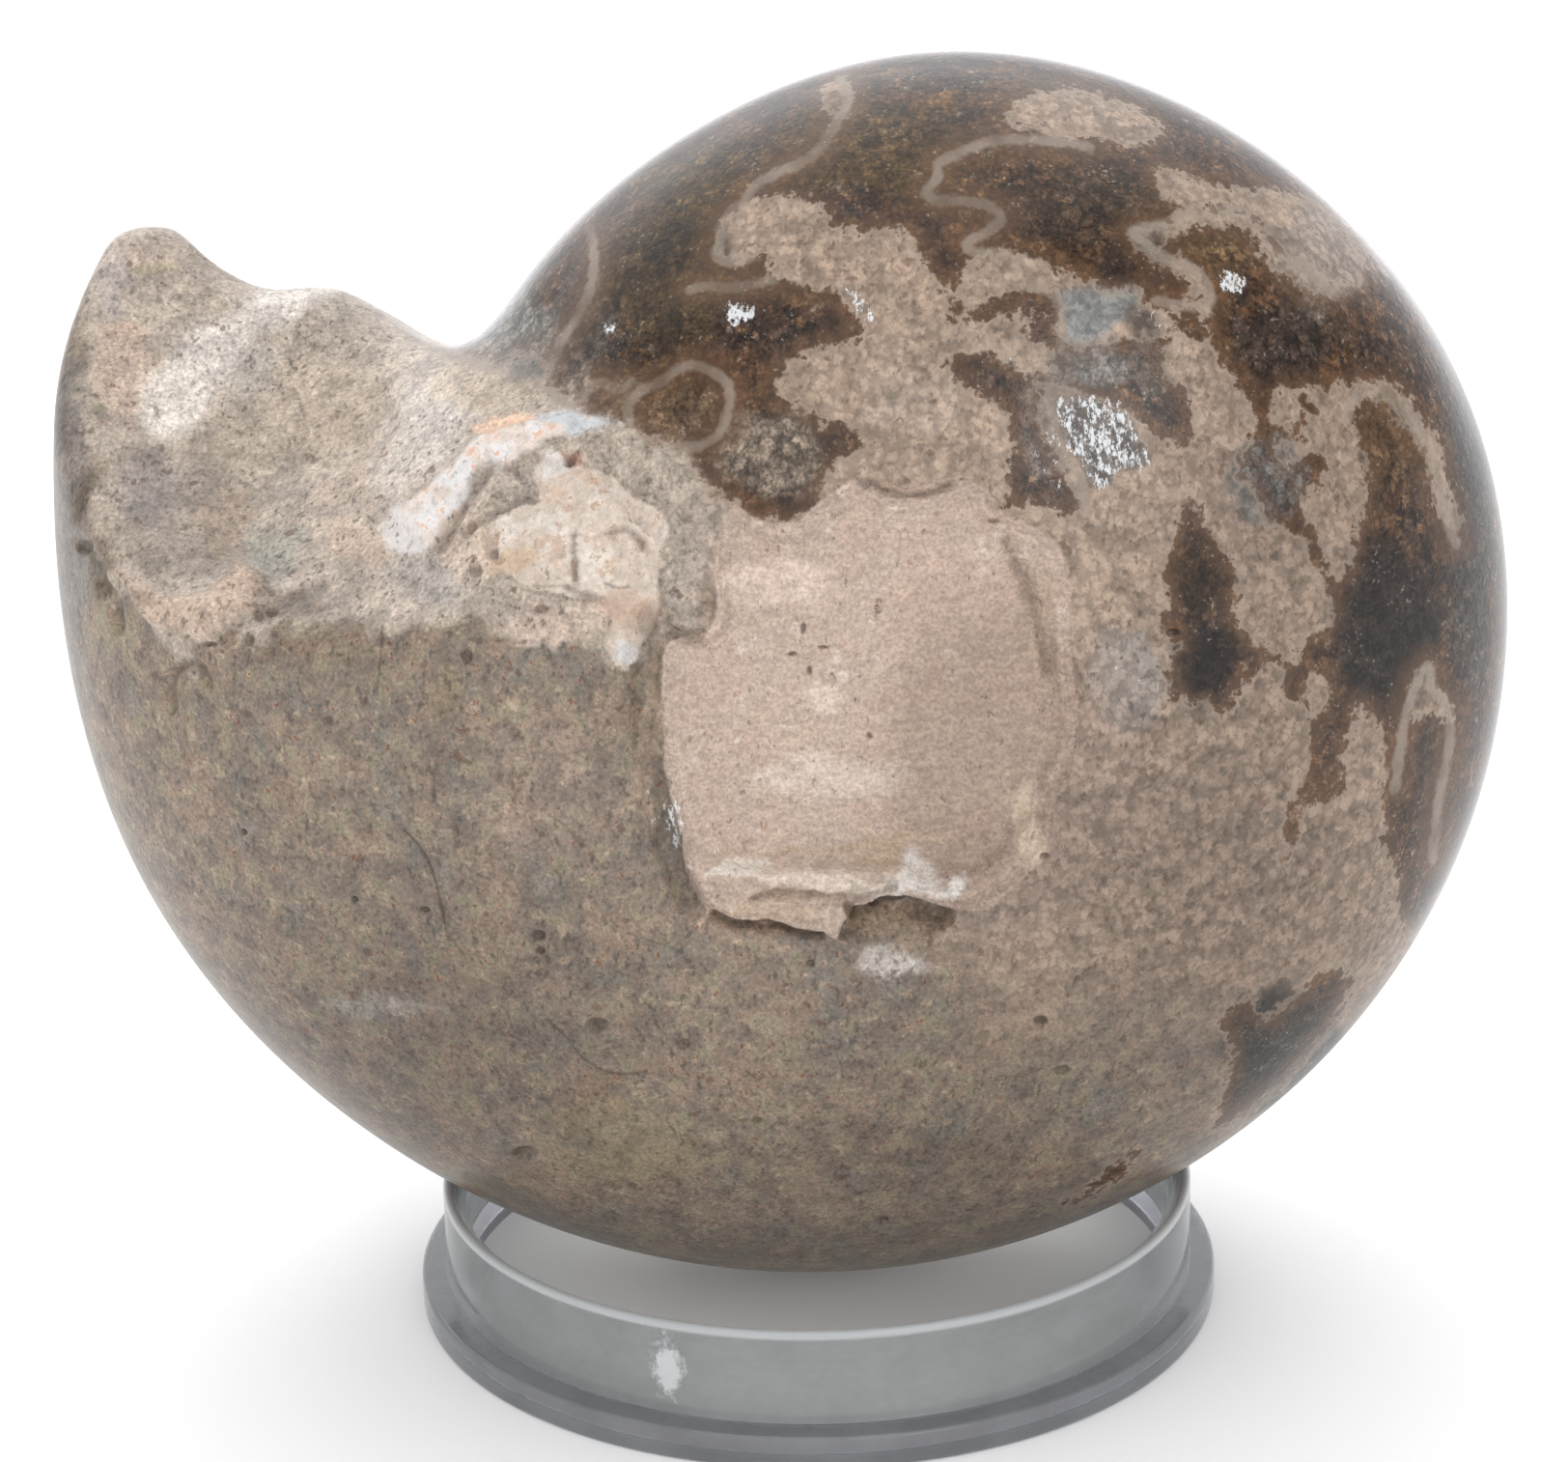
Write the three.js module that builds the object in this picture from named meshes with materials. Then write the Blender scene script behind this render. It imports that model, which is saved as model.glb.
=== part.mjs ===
// A polished ammonite fossil with its body chamber broken open, resting on a clear ring stand.
// Millimetres, +Z up. The ring stands on z = 0, and the flank with the umbilical patch faces -Y.
import * as THREE from 'three';
import { mergeVertices } from 'three/addons/utils/BufferGeometryUtils.js';

// Ring stand, a turned ring of clear plastic
const FLANGE_RADIUS = 22.5;
const FLANGE_HEIGHT = 1.75;
const WALL_OUTER_RADIUS = 21.1;
const WALL_INNER_RADIUS = 20.0;
const RIM_HEIGHT = 6.7;
const RIM_BEVEL = 0.7;
const EDGE_ROUND = 0.25;
const RING_SEGMENTS = 72;
const RING_X = 1.19;

// Coil of the fossil: its centre, and the radius of the outer edge every 30 degrees.
// The turn angle is 0 where the inner whorl leaves the opening, and 360 where the shell ends.
const COIL_CENTRE = [2.9, 0, 37.9];
const OPENING_ANGLE = 140;
const FIRST_TURN = -60;
const RADIUS_STEP = 30;
const OUTER_RADII = [22, 23.4, 25, 27.2, 30.3, 32.3, 34, 34.6, 35.1, 35.8, 37.1, 39, 41.4, 43.2, 46.7];

// Cross section of a whorl: half thickness, which evens out towards the coil's centre
const HALF_THICKNESS_START = 16.2;
const HALF_THICKNESS_PER_DEGREE = 0.0119;
const HALF_THICKNESS_CENTRE = 18.6;
const CENTRE_FADE = [0.15, 0.55];
const FLANK_POWER = 2.5;
const LEVEL_POWER = 0.45;
const LEVEL_SCALE = 0.9;

// Broken face of the body chamber: a hollow turned to the front, and a crest behind it
const FACE_CENTRE = [-26.8, -38.8, 86.2];
const FACE_RADIUS = 50;
const CREST_ANGLE = 148;
const CREST_START = 20;
const CREST_STEP = 3.3;
const CREST_HEIGHTS = [0.4, -0.2, 0, 0.8, 0.6, -1.3, -1.3, 0.2, 2.4];
const CREST_BACK = 3;
const CREST_BACK_FALL = 0.45;
const CREST_INNER_END = 6;
const CREST_INNER_SOFTNESS = 2;
const CREST_SOFTNESS = 1.8;
const BREAK_SOFTNESS = 2.4;

// Chalky fill between the broken face and the inner whorl
const FILL_CENTRE = [-9.5, -2.5, 41.5];
const FILL_RADII = [14.5, 15.2, 13.5];
const FILL_SCALE = 10;
const FILL_SOFTNESS = 5;

// Ranges of turn and radius over which the last whorl passes into the inner one
const INNER_ALONE = [60, 180];
const JOIN_TURNS = [300, 360];
const JOIN_RADII = [22, 10];
const SEAM_TURNS_BEFORE = [55, 5];
const SEAM_TURNS_AFTER = [190, 260];
const SEAM_SOFTNESS = 1.5;

// Relief on the flanks, as [x, z] looked at from the front. A height below zero is carved in.
const RELIEF_FROM_Y = 6;
const PATCH = {
  height: -1.6,
  edge: [0.6, -2.5],
  outline: [
    [-6.6, 42.3], [-6.2, 45], [-3.8, 47], [-0.5, 46.3], [3.1, 48.3], [8, 47.6], [12.4, 45.3], [13.3, 41],
    [13, 36.3], [12, 32.6], [10, 29.4], [6, 27.6], [1.3, 26.9], [-3, 27.6], [-5.6, 29.6], [-6.7, 33],
  ],
};
const FILL_PIT = {
  height: -0.8,
  edge: [0.6, -2],
  outline: [[-16.2, 47], [-13, 49.3], [-9.6, 48], [-7.4, 44.5], [-8, 39], [-12, 40.6], [-16, 42]],
};
const LIP = { height: 0.9, edge: [2.2, 0.6], line: [[-5.2, 29.4], [-2.4, 27.2], [1.6, 26.6], [5.4, 27.4], [8.6, 28.2]] };
const CREVICE = { height: -1.5, edge: [1.4, 0.3], line: [[2.6, 26.1], [4.6, 26.7], [7, 26.2]] };
const LEDGE = { height: 0.8, edge: [2.4, 0.6], line: [[-35.6, 43.4], [-32.6, 41.4], [-29.2, 42.2], [-26.6, 45.4]] };
const BACK_PATCH_SCALE = 0.72;
const BACK_PATCH = {
  height: -1.2,
  edge: [0.8, -3],
  outline: PATCH.outline.map(([x, z]) => [
    COIL_CENTRE[0] + (x - COIL_CENTRE[0]) * BACK_PATCH_SCALE,
    COIL_CENTRE[2] + (z - COIL_CENTRE[2]) * BACK_PATCH_SCALE,
  ]),
};

// The fossil is one closed surface, found along rays from a point inside it.
// The rays start evenly over a ball, and then crowd towards the relief and the broken face.
const RAY_CENTRE = [-6, 1, 29];
const RAY_REACH = 66;
const RAY_STEPS = 44;
const BISECTIONS = 16;
const BALL_DETAIL = 19;
const BALL_STRETCH = [40, 20, 34];
const EVEN_ROUNDS = 14;
const CROWDING = 1.6;
const PATCH_REACH = [4, 1];
const LEDGE_REACH = [5, 2];
const BREAK_REACH = [5, 1];
const BREAK_X = [-8, -14];

const radians = (angle) => (angle * Math.PI) / 180;
const degrees = (angle) => (angle * 180) / Math.PI;
const clamp01 = (value) => Math.min(1, Math.max(0, value));

function smoothstep(start, end, value) {
  const t = clamp01((value - start) / (end - start));
  return t * t * (3 - 2 * t);
}

// Rounded union and rounded intersection of two distances
function softMax(a, b, width) {
  const blend = clamp01(0.5 + (0.5 * (a - b)) / width);
  return b + (a - b) * blend + width * blend * (1 - blend);
}

function softMin(a, b, width) {
  return -softMax(-a, -b, width);
}

// Smooth curve through evenly spaced values
function through(values, position) {
  const last = values.length - 1;
  const t = Math.min(Math.max(position, 0), last - 1e-9);
  const index = Math.floor(t);
  const u = t - index;
  const [a, b, c, d] = [-1, 0, 1, 2].map((step) => values[Math.min(Math.max(index + step, 0), last)]);
  return 0.5 * (2 * b + (c - a) * u + (2 * a - 5 * b + 4 * c - d) * u * u + (3 * b - a - 3 * c + d) * u * u * u);
}

function whorlDistance(radius, y, turn) {
  const outer = through(OUTER_RADII, (turn - FIRST_TURN) / RADIUS_STEP);
  const part = radius / outer;
  const flank = HALF_THICKNESS_START + HALF_THICKNESS_PER_DEGREE * (turn - FIRST_TURN);
  const half = HALF_THICKNESS_CENTRE + (flank - HALF_THICKNESS_CENTRE) * smoothstep(...CENTRE_FADE, part);
  const level = (part ** FLANK_POWER + (y / half) ** 2) ** LEVEL_POWER;
  return (level - 1) * outer * LEVEL_SCALE;
}

// Positive where the body chamber is broken away
function breakDistance(x, y, z) {
  const hollow = FACE_RADIUS - Math.hypot(x - FACE_CENTRE[0], y - FACE_CENTRE[1], z - FACE_CENTRE[2]);
  const angle = radians(CREST_ANGLE);
  const [dx, dz] = [x - COIL_CENTRE[0], z - COIL_CENTRE[2]];
  const along = dx * Math.cos(angle) + dz * Math.sin(angle);
  const above = dx * Math.sin(angle) - dz * Math.cos(angle);
  const crest = through(CREST_HEIGHTS, (along - CREST_START) / CREST_STEP);
  const overCrest = above - crest + CREST_BACK_FALL * Math.max(y - CREST_BACK, 0);
  return softMax(hollow, softMin(overCrest, along - CREST_INNER_END, CREST_INNER_SOFTNESS), CREST_SOFTNESS);
}

function fillDistance(point) {
  const level = Math.hypot(...point.map((value, axis) => (value - FILL_CENTRE[axis]) / FILL_RADII[axis]));
  return (level - 1) * FILL_SCALE;
}

// Negative inside the fossil, positive outside
function fossilDistance(x, y, z) {
  const [dx, dz] = [x - COIL_CENTRE[0], z - COIL_CENTRE[2]];
  const radius = Math.hypot(dx, dz);
  const turn = (OPENING_ANGLE - degrees(Math.atan2(dz, dx)) + 720) % 360;
  const inner = whorlDistance(radius, y, turn > 180 ? turn - 360 : turn);
  if (turn > INNER_ALONE[0] && turn < INNER_ALONE[1]) return inner;
  const shell = whorlDistance(radius, y, turn);
  const joined = shell + (inner - shell) * smoothstep(...JOIN_TURNS, turn) * smoothstep(...JOIN_RADII, radius);
  const broken = softMax(joined, breakDistance(x, y, z), BREAK_SOFTNESS);
  const filled = softMin(broken, fillDistance([x, y, z]), FILL_SOFTNESS);
  const seam = smoothstep(...(turn < 180 ? SEAM_TURNS_BEFORE : SEAM_TURNS_AFTER), turn);
  return softMin(inner, filled, SEAM_SOFTNESS * Math.max(seam, 0.01));
}

function segmentDistance(x, z, [ax, az], [bx, bz]) {
  const t = clamp01(((x - ax) * (bx - ax) + (z - az) * (bz - az)) / ((bx - ax) ** 2 + (bz - az) ** 2));
  return Math.hypot(x - ax - t * (bx - ax), z - az - t * (bz - az));
}

function lineDistance(x, z, line) {
  return Math.min(...line.slice(1).map((end, index) => segmentDistance(x, z, line[index], end)));
}

// Distance to an outline, negative inside it
function outlineDistance(x, z, outline) {
  let inside = false;
  outline.forEach(([ax, az], index) => {
    const [bx, bz] = outline[(index + 1) % outline.length];
    if (az > z !== bz > z && x < ((bx - ax) * (z - az)) / (bz - az) + ax) inside = !inside;
  });
  const distance = lineDistance(x, z, [...outline, outline[0]]);
  return inside ? -distance : distance;
}

function reliefOf(x, z, { height, edge, outline, line }) {
  const distance = outline ? outlineDistance(x, z, outline) : lineDistance(x, z, line);
  return height * smoothstep(...edge, distance);
}

function withRelief([x, y, z]) {
  const places = y < -RELIEF_FROM_Y ? [PATCH, FILL_PIT, LIP, CREVICE, LEDGE] : y > RELIEF_FROM_Y ? [BACK_PATCH] : [];
  const height = places.reduce((sum, place) => sum + reliefOf(x, z, place), 0);
  return [x, y + Math.sign(y) * height, z];
}

// Triangles are smaller where this is larger: at fine relief, and at the edges of the broken face
function crowding([x, y, z]) {
  const outline = (y < 0 ? PATCH : BACK_PATCH).outline;
  const patch = smoothstep(...PATCH_REACH, Math.abs(outlineDistance(x, z, outline)));
  const ledge = y < 0 ? smoothstep(...LEDGE_REACH, lineDistance(x, z, LEDGE.line)) : 0;
  const edge = smoothstep(...BREAK_REACH, Math.abs(breakDistance(x, y, z))) * smoothstep(...BREAK_X, x);
  return 1 + CROWDING * Math.max(patch, ledge, edge);
}

function surfacePoint(direction) {
  const at = (reach) => RAY_CENTRE.map((value, axis) => value + direction[axis] * reach);
  let near = 0;
  let far = RAY_REACH;
  for (let step = 1; step <= RAY_STEPS; step += 1) {
    far = (RAY_REACH * step) / RAY_STEPS;
    if (fossilDistance(...at(far)) > 0) break;
    near = far;
  }
  for (let turn = 0; turn < BISECTIONS; turn += 1) {
    const middle = (near + far) / 2;
    if (fossilDistance(...at(middle)) > 0) far = middle;
    else near = middle;
  }
  return at((near + far) / 2);
}

function neighboursOf(geometry) {
  const neighbours = Array.from({ length: geometry.attributes.position.count }, () => new Set());
  const corners = geometry.index.array;
  for (let first = 0; first < corners.length; first += 3) {
    for (let side = 0; side < 3; side += 1) {
      const [a, b] = [corners[first + side], corners[first + ((side + 1) % 3)]];
      neighbours[a].add(b);
      neighbours[b].add(a);
    }
  }
  return neighbours.map((set) => [...set]);
}

function directionTo(point) {
  return new THREE.Vector3(...point).sub(new THREE.Vector3(...RAY_CENTRE)).normalize().toArray();
}

// One round moves every point halfway to the weighted middle of its neighbours, along the surface
function evenRound(points, neighbours) {
  const weights = points.map(crowding);
  return points.map((point, index) => {
    const middle = new THREE.Vector3();
    let total = 0;
    neighbours[index].forEach((other) => {
      middle.addScaledVector(new THREE.Vector3(...points[other]), weights[other]);
      total += weights[other];
    });
    const target = middle.divideScalar(total).lerp(new THREE.Vector3(...point), 0.5);
    return surfacePoint(directionTo(target.toArray()));
  });
}

function ammoniteFossil() {
  const ball = new THREE.IcosahedronGeometry(1, BALL_DETAIL);
  ball.deleteAttribute('normal');
  ball.deleteAttribute('uv');
  const geometry = mergeVertices(ball, 1e-5);
  const positions = geometry.attributes.position;
  const neighbours = neighboursOf(geometry);
  let points = Array.from({ length: positions.count }, (_, index) => {
    const corner = new THREE.Vector3().fromBufferAttribute(positions, index);
    return surfacePoint(corner.multiply(new THREE.Vector3(...BALL_STRETCH)).normalize().toArray());
  });
  for (let round = 0; round < EVEN_ROUNDS; round += 1) points = evenRound(points, neighbours);
  points.forEach((point, index) => positions.setXYZ(index, ...withRelief(point)));
  geometry.computeVertexNormals();
  const material = new THREE.MeshStandardMaterial({ color: 0x9a8674, roughness: 0.45, metalness: 0 });
  const mesh = new THREE.Mesh(geometry, material);
  mesh.name = 'ammonite_fossil';
  return mesh;
}

function ringStand() {
  const profile = [
    [WALL_INNER_RADIUS, 0],
    [FLANGE_RADIUS - EDGE_ROUND, 0],
    [FLANGE_RADIUS, EDGE_ROUND],
    [FLANGE_RADIUS, FLANGE_HEIGHT - EDGE_ROUND],
    [FLANGE_RADIUS - EDGE_ROUND, FLANGE_HEIGHT],
    [WALL_OUTER_RADIUS, FLANGE_HEIGHT],
    [WALL_OUTER_RADIUS, RIM_HEIGHT - EDGE_ROUND],
    [WALL_OUTER_RADIUS - EDGE_ROUND, RIM_HEIGHT],
    [WALL_INNER_RADIUS + RIM_BEVEL, RIM_HEIGHT],
    [WALL_INNER_RADIUS, RIM_HEIGHT - RIM_BEVEL],
    [WALL_INNER_RADIUS, 0],
  ];
  const geometry = new THREE.LatheGeometry(profile.map((point) => new THREE.Vector2(...point)), RING_SEGMENTS);
  const material = new THREE.MeshStandardMaterial({
    color: 0xd7dcd8, roughness: 0.12, metalness: 0, transparent: true, opacity: 0.35,
  });
  const mesh = new THREE.Mesh(geometry, material);
  mesh.name = 'ring_stand';
  mesh.rotation.x = Math.PI / 2;
  return mesh;
}

const part = new THREE.Group();
part.name = 'ammonite_fossil_on_ring_stand';
part.position.x = RING_X;
part.add(ammoniteFossil(), ringStand());

export default part;
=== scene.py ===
import math

import bmesh
import bpy
import numpy as np
from mathutils import Matrix, Vector, noise


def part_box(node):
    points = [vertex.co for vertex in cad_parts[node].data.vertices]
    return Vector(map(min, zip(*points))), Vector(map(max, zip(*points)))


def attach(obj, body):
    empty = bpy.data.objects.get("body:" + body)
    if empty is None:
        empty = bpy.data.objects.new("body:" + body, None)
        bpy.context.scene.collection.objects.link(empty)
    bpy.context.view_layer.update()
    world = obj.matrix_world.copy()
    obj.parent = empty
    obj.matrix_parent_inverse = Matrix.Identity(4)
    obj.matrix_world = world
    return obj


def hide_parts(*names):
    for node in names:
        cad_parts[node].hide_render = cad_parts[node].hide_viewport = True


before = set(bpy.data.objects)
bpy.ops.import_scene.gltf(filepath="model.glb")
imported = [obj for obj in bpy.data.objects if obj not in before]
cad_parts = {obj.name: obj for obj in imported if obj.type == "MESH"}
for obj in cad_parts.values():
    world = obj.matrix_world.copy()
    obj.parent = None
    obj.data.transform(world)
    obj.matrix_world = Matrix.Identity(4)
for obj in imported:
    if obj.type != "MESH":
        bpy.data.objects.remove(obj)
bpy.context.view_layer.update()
MM = 0.001

# Camera
# A long lens in front of the fossil, a little above it and looking down. Its place was fitted to the
# ellipses of the ring stand. Millimetres are counted from the middle of the ring's lower face.
IMAGE_SIZE = np.array([1624, 1514])
FOCAL_PIXELS = 2800
SENSOR_WIDTH = 36
CAMERA_PLACE = np.array([0, -142.6, 69.6])
CAMERA_TURN = math.radians(-0.54)
CAMERA_TILT = math.radians(14.8)
CAMERA_ROLL = math.radians(-1.12)

ring_low, ring_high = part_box("ring_stand")
RING_MIDDLE = np.array([(ring_low.x + ring_high.x) / 2, (ring_low.y + ring_high.y) / 2, 0]) / MM

forward = np.array([
    math.sin(CAMERA_TURN) * math.cos(CAMERA_TILT),
    math.cos(CAMERA_TURN) * math.cos(CAMERA_TILT),
    -math.sin(CAMERA_TILT),
])
level_right = np.array([math.cos(CAMERA_TURN), -math.sin(CAMERA_TURN), 0])
level_up = np.cross(level_right, forward)
right = math.cos(CAMERA_ROLL) * level_right + math.sin(CAMERA_ROLL) * level_up
up = math.cos(CAMERA_ROLL) * level_up - math.sin(CAMERA_ROLL) * level_right

camera = bpy.data.objects.new("camera", bpy.data.cameras.new("camera"))
camera.data.sensor_fit = "HORIZONTAL"
camera.data.sensor_width = SENSOR_WIDTH
camera.data.lens = SENSOR_WIDTH * FOCAL_PIXELS / IMAGE_SIZE[0]
camera.data.clip_start = 0.001
camera.data.clip_end = 20
camera.matrix_world = Matrix.Translation((CAMERA_PLACE + RING_MIDDLE) * MM) @ Matrix(
    np.column_stack([right, up, -forward]).tolist()
).to_4x4()
bpy.context.scene.collection.objects.link(camera)
bpy.context.scene.camera = camera


# Ring stand
# The real one is a turned ring of clear acrylic with a foot flange and a bevelled rim. It lies loose on
# the surface, and carries the fossil on its rim.
RING_FLANGE_RADIUS = 22.5
RING_FLANGE_HEIGHT = 1.75
RING_WALL_OUTER = 21.1
RING_WALL_INNER = 20.0
RING_RIM_HEIGHT = 6.7
RING_RIM_BEVEL = 0.7
RING_EDGE = 0.25
RING_FOOT_EDGE = 0.12
RING_STEPS = 256
EDGE_STEPS = 4


def linear(colour):
    """The linear colour of an sRGB hex value, with alpha."""
    parts = [int(colour[index:index + 2], 16) / 255 for index in (1, 3, 5)]
    return [part / 12.92 if part <= 0.04045 else ((part + 0.055) / 1.055) ** 2.4 for part in parts] + [1.0]


def node(tree, kind, links=(), out=0, **settings):
    """Adds a node with its settings, and gives its output. A link is a value, a hex colour or an output."""
    made = tree.nodes.new("ShaderNode" + kind)
    for name, value in settings.items():
        setattr(made, name, value)
    for socket, value in dict(links).items():
        if isinstance(value, bpy.types.NodeSocket):
            tree.links.new(value, made.inputs[socket])
        else:
            made.inputs[socket].default_value = linear(value) if isinstance(value, str) else value
    return made.outputs[out] if made.outputs else made


def new_material(name):
    """An empty node material, and its tree."""
    material = bpy.data.materials.new(name)
    material.use_nodes = True
    material.node_tree.nodes.clear()
    return material, material.node_tree


def new_piece(name, points, faces, material):
    """A smooth mesh object from points in millimetres round the middle of the ring."""
    mesh = bpy.data.meshes.new(name)
    mesh.from_pydata(((np.asarray(points) + RING_MIDDLE) * MM).tolist(), [], np.asarray(faces).tolist())
    mesh.materials.append(material)
    mesh.polygons.foreach_set("use_smooth", [True] * len(mesh.polygons))
    mesh.update()
    piece = bpy.data.objects.new(name, mesh)
    bpy.context.scene.collection.objects.link(piece)
    return piece


def rounded(corners):
    """The outline through the corners, each rounded by its own radius."""
    outline = []
    for index, (x, z, radius) in enumerate(corners):
        corner = Vector((x, z))
        before = (Vector(corners[index - 1][:2]) - corner).normalized() * radius
        after = (Vector(corners[(index + 1) % len(corners)][:2]) - corner).normalized() * radius
        for step in range(EDGE_STEPS + 1):
            part = step / EDGE_STEPS
            outline.append(corner + before * (1 - part) ** 2 + after * part ** 2)
    return outline


ring_profile = rounded([
    (RING_WALL_INNER, 0, RING_FOOT_EDGE),
    (RING_FLANGE_RADIUS, 0, RING_EDGE),
    (RING_FLANGE_RADIUS, RING_FLANGE_HEIGHT, RING_EDGE),
    (RING_WALL_OUTER, RING_FLANGE_HEIGHT, RING_FOOT_EDGE),
    (RING_WALL_OUTER, RING_RIM_HEIGHT, RING_EDGE),
    (RING_WALL_INNER + RING_RIM_BEVEL, RING_RIM_HEIGHT, RING_FOOT_EDGE),
    (RING_WALL_INNER, RING_RIM_HEIGHT - RING_RIM_BEVEL, RING_FOOT_EDGE),
])
ring_points = [
    (point.x * math.cos(turn), point.x * math.sin(turn), point.y)
    for turn in np.arange(RING_STEPS) * 2 * math.pi / RING_STEPS
    for point in ring_profile
]
profile_count = len(ring_profile)
ring_faces = [
    [
        step * profile_count + place,
        (step + 1) % RING_STEPS * profile_count + place,
        (step + 1) % RING_STEPS * profile_count + (place + 1) % profile_count,
        step * profile_count + (place + 1) % profile_count,
    ]
    for step in range(RING_STEPS)
    for place in range(profile_count)
]

# Clear acrylic, turned and much handled: the eye sees through it as through thin mist, because fine turning
# lines and scratches scatter part of the light. The worn rim is paler, and is painted whiter still as a
# highlight, for the bright line of light along it. The front of the wall has one dull white scuff.
ACRYLIC_IOR = 1.49
SCUFF_MIDDLE = RING_MIDDLE + [-7.6, -19.6, 4.2]
SCUFF_SIZE = [0.9, 3.5, 1.7]
TURNING_LINE = 0.35
acrylic, tree = new_material("clear_turned_acrylic")
ring_millimetres = node(tree, "VectorMath", {
    0: node(tree, "TexCoord", out="Object"), 3: 1 / MM,
}, operation="SCALE")
height = node(tree, "SeparateXYZ", {0: ring_millimetres}, out="Z")
line_places = node(tree, "CombineXYZ", {"Z": height})
turned_lines = node(tree, "TexNoise", {"Vector": line_places, "Scale": 1 / TURNING_LINE, "Detail": 3})
clouds = node(tree, "TexNoise", {"Vector": ring_millimetres, "Scale": 0.35, "Detail": 3, "Roughness": 0.65})
haze = node(tree, "Math", {0: turned_lines, 1: 0.35, 2: clouds}, operation="MULTIPLY_ADD")
haze = node(tree, "MapRange", {0: haze, 1: 0.45, 2: 0.95, 3: 0.10, 4: 0.30})
# The rim band is worn, and painted whiter and more opaque as a highlight along the rim
rim_start, rim_end = RING_RIM_HEIGHT - 0.5, RING_RIM_HEIGHT - 0.3
rim = node(tree, "MapRange", {0: height, 1: rim_start, 2: rim_end, 3: 0.0, 4: 0.6})
haze = node(tree, "Math", {0: rim, 1: haze}, operation="MAXIMUM")
scratched_tone_and_rim_highlight = node(tree, "Mix", {0: rim, 6: "#aeb2b4", 7: "#eef0f0"}, out=2, data_type="RGBA")

scuff_place = node(tree, "VectorMath", {0: ring_millimetres, 1: SCUFF_MIDDLE.tolist()}, operation="SUBTRACT")
scuff_place = node(tree, "VectorMath", {0: scuff_place, 1: SCUFF_SIZE}, operation="DIVIDE")
scuff_reach = node(tree, "VectorMath", {0: scuff_place}, out="Value", operation="LENGTH")
scuff_grain = node(tree, "TexNoise", {
    "Vector": ring_millimetres, "Scale": 1.6, "Detail": 5, "Roughness": 0.75,
})
scuff = node(tree, "Math", {0: scuff_grain, 1: 2.4, 2: scuff_reach}, operation="MULTIPLY_ADD")
scuff = node(tree, "MapRange", {0: scuff, 1: 1.7, 2: 2.2, 3: 0.6, 4: 0.0})

ring_tone = node(tree, "MapRange", {0: height, 1: RING_FLANGE_HEIGHT - 0.2, 2: RING_FLANGE_HEIGHT + 0.2})
ring_tone = node(tree, "Mix", {0: ring_tone, 6: "#c4c4ce", 7: "#d0d5d2"}, out=2, data_type="RGBA")
clear = node(tree, "BsdfPrincipled", {
    "Base Color": ring_tone, "Roughness": 0.10, "IOR": ACRYLIC_IOR, "Transmission Weight": 1.0,
})
scratched = node(tree, "BsdfPrincipled", {
    "Base Color": scratched_tone_and_rim_highlight, "Roughness": 0.3, "IOR": ACRYLIC_IOR,
})
scuffed = node(tree, "BsdfPrincipled", {"Base Color": "#e4e6e6", "Roughness": 0.6})
misty = node(tree, "MixShader", {0: haze, 1: clear, 2: scratched})
worn = node(tree, "MixShader", {0: scuff, 1: misty, 2: scuffed})
node(tree, "OutputMaterial", {0: worn})

ring_stand = new_piece("clear_ring_stand", ring_points, ring_faces, acrylic)
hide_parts("ring_stand")
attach(ring_stand, "root")


# Ammonite fossil
# The real one is a coiled shell turned to stone, ground and polished all over, with its body chamber
# broken open at the left and a chalky plug in the navel of the coil. It is one stone, and rests on the ring.
COIL_CENTRE = [2.9, 0, 37.9]
OPENING_ANGLE = 140
FIRST_TURN = -60
RADIUS_STEP = 30
OUTER_RADII = [22, 23.4, 25, 27.2, 30.3, 32.3, 34, 34.6, 35.1, 35.8, 37.1, 39, 41.4, 43.2, 46.7]
HALF_THICKNESS_START = 16.2
HALF_THICKNESS_PER_DEGREE = 0.0119
HALF_THICKNESS_CENTRE = 18.6
CENTRE_FADE = (0.15, 0.55)
FLANK_POWER = 2.5
LEVEL_POWER = 0.45
LEVEL_SCALE = 0.9
FACE_CENTRE = np.array([-26.8, -38.8, 86.2])
FACE_RADIUS = 50
CREST_ANGLE = math.radians(148)
CREST_START = 20
CREST_STEP = 3.3
CREST_HEIGHTS = [0.4, -0.2, 0, 0.8, 0.6, -1.3, -1.3, 0.2, 2.4]
CREST_BACK = 3
CREST_BACK_FALL = 0.45
CREST_INNER_END = 6
CREST_INNER_SOFTNESS = 2
CREST_SOFTNESS = 1.8
TIP_TOP = 59.75
TIP_END_X = -15
TIP_SLOPE = 0.07
NO_TIP = -9
TIP_SOFTNESS = 1.2
BREAK_SOFTNESS = 2.4
FILL_CENTRE = np.array([-9.5, -2.5, 41.5])
FILL_RADII = np.array([14.5, 15.2, 13.5])
FILL_SCALE = 10
FILL_SOFTNESS = 5
SEAM_SOFTNESS = 1.5
SEAM_LEAST = 0.01
SEAM_FIRST_TURNS = (55, 5)
SEAM_LAST_TURNS = (190, 260)
INNER_TURNS = (60, 180)
JOINED_TURNS = (300, 360)
JOINED_RADII = (22, 10)
RAY_CENTRE = np.array([-6, 1, 29])
RAY_REACH = 66
RAY_STEPS = 44
BISECTIONS = 15
BALL_LEVELS = 6
BALL_STRETCH = np.array([40, 20, 34])
EVEN_ROUNDS = 6
SPLIT_ROUNDS = 4


def smooth_step(start, end, value):
    """A soft step from 0 at start to 1 at end."""
    part = np.clip((value - start) / (end - start), 0, 1)
    return part * part * (3 - 2 * part)


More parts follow.
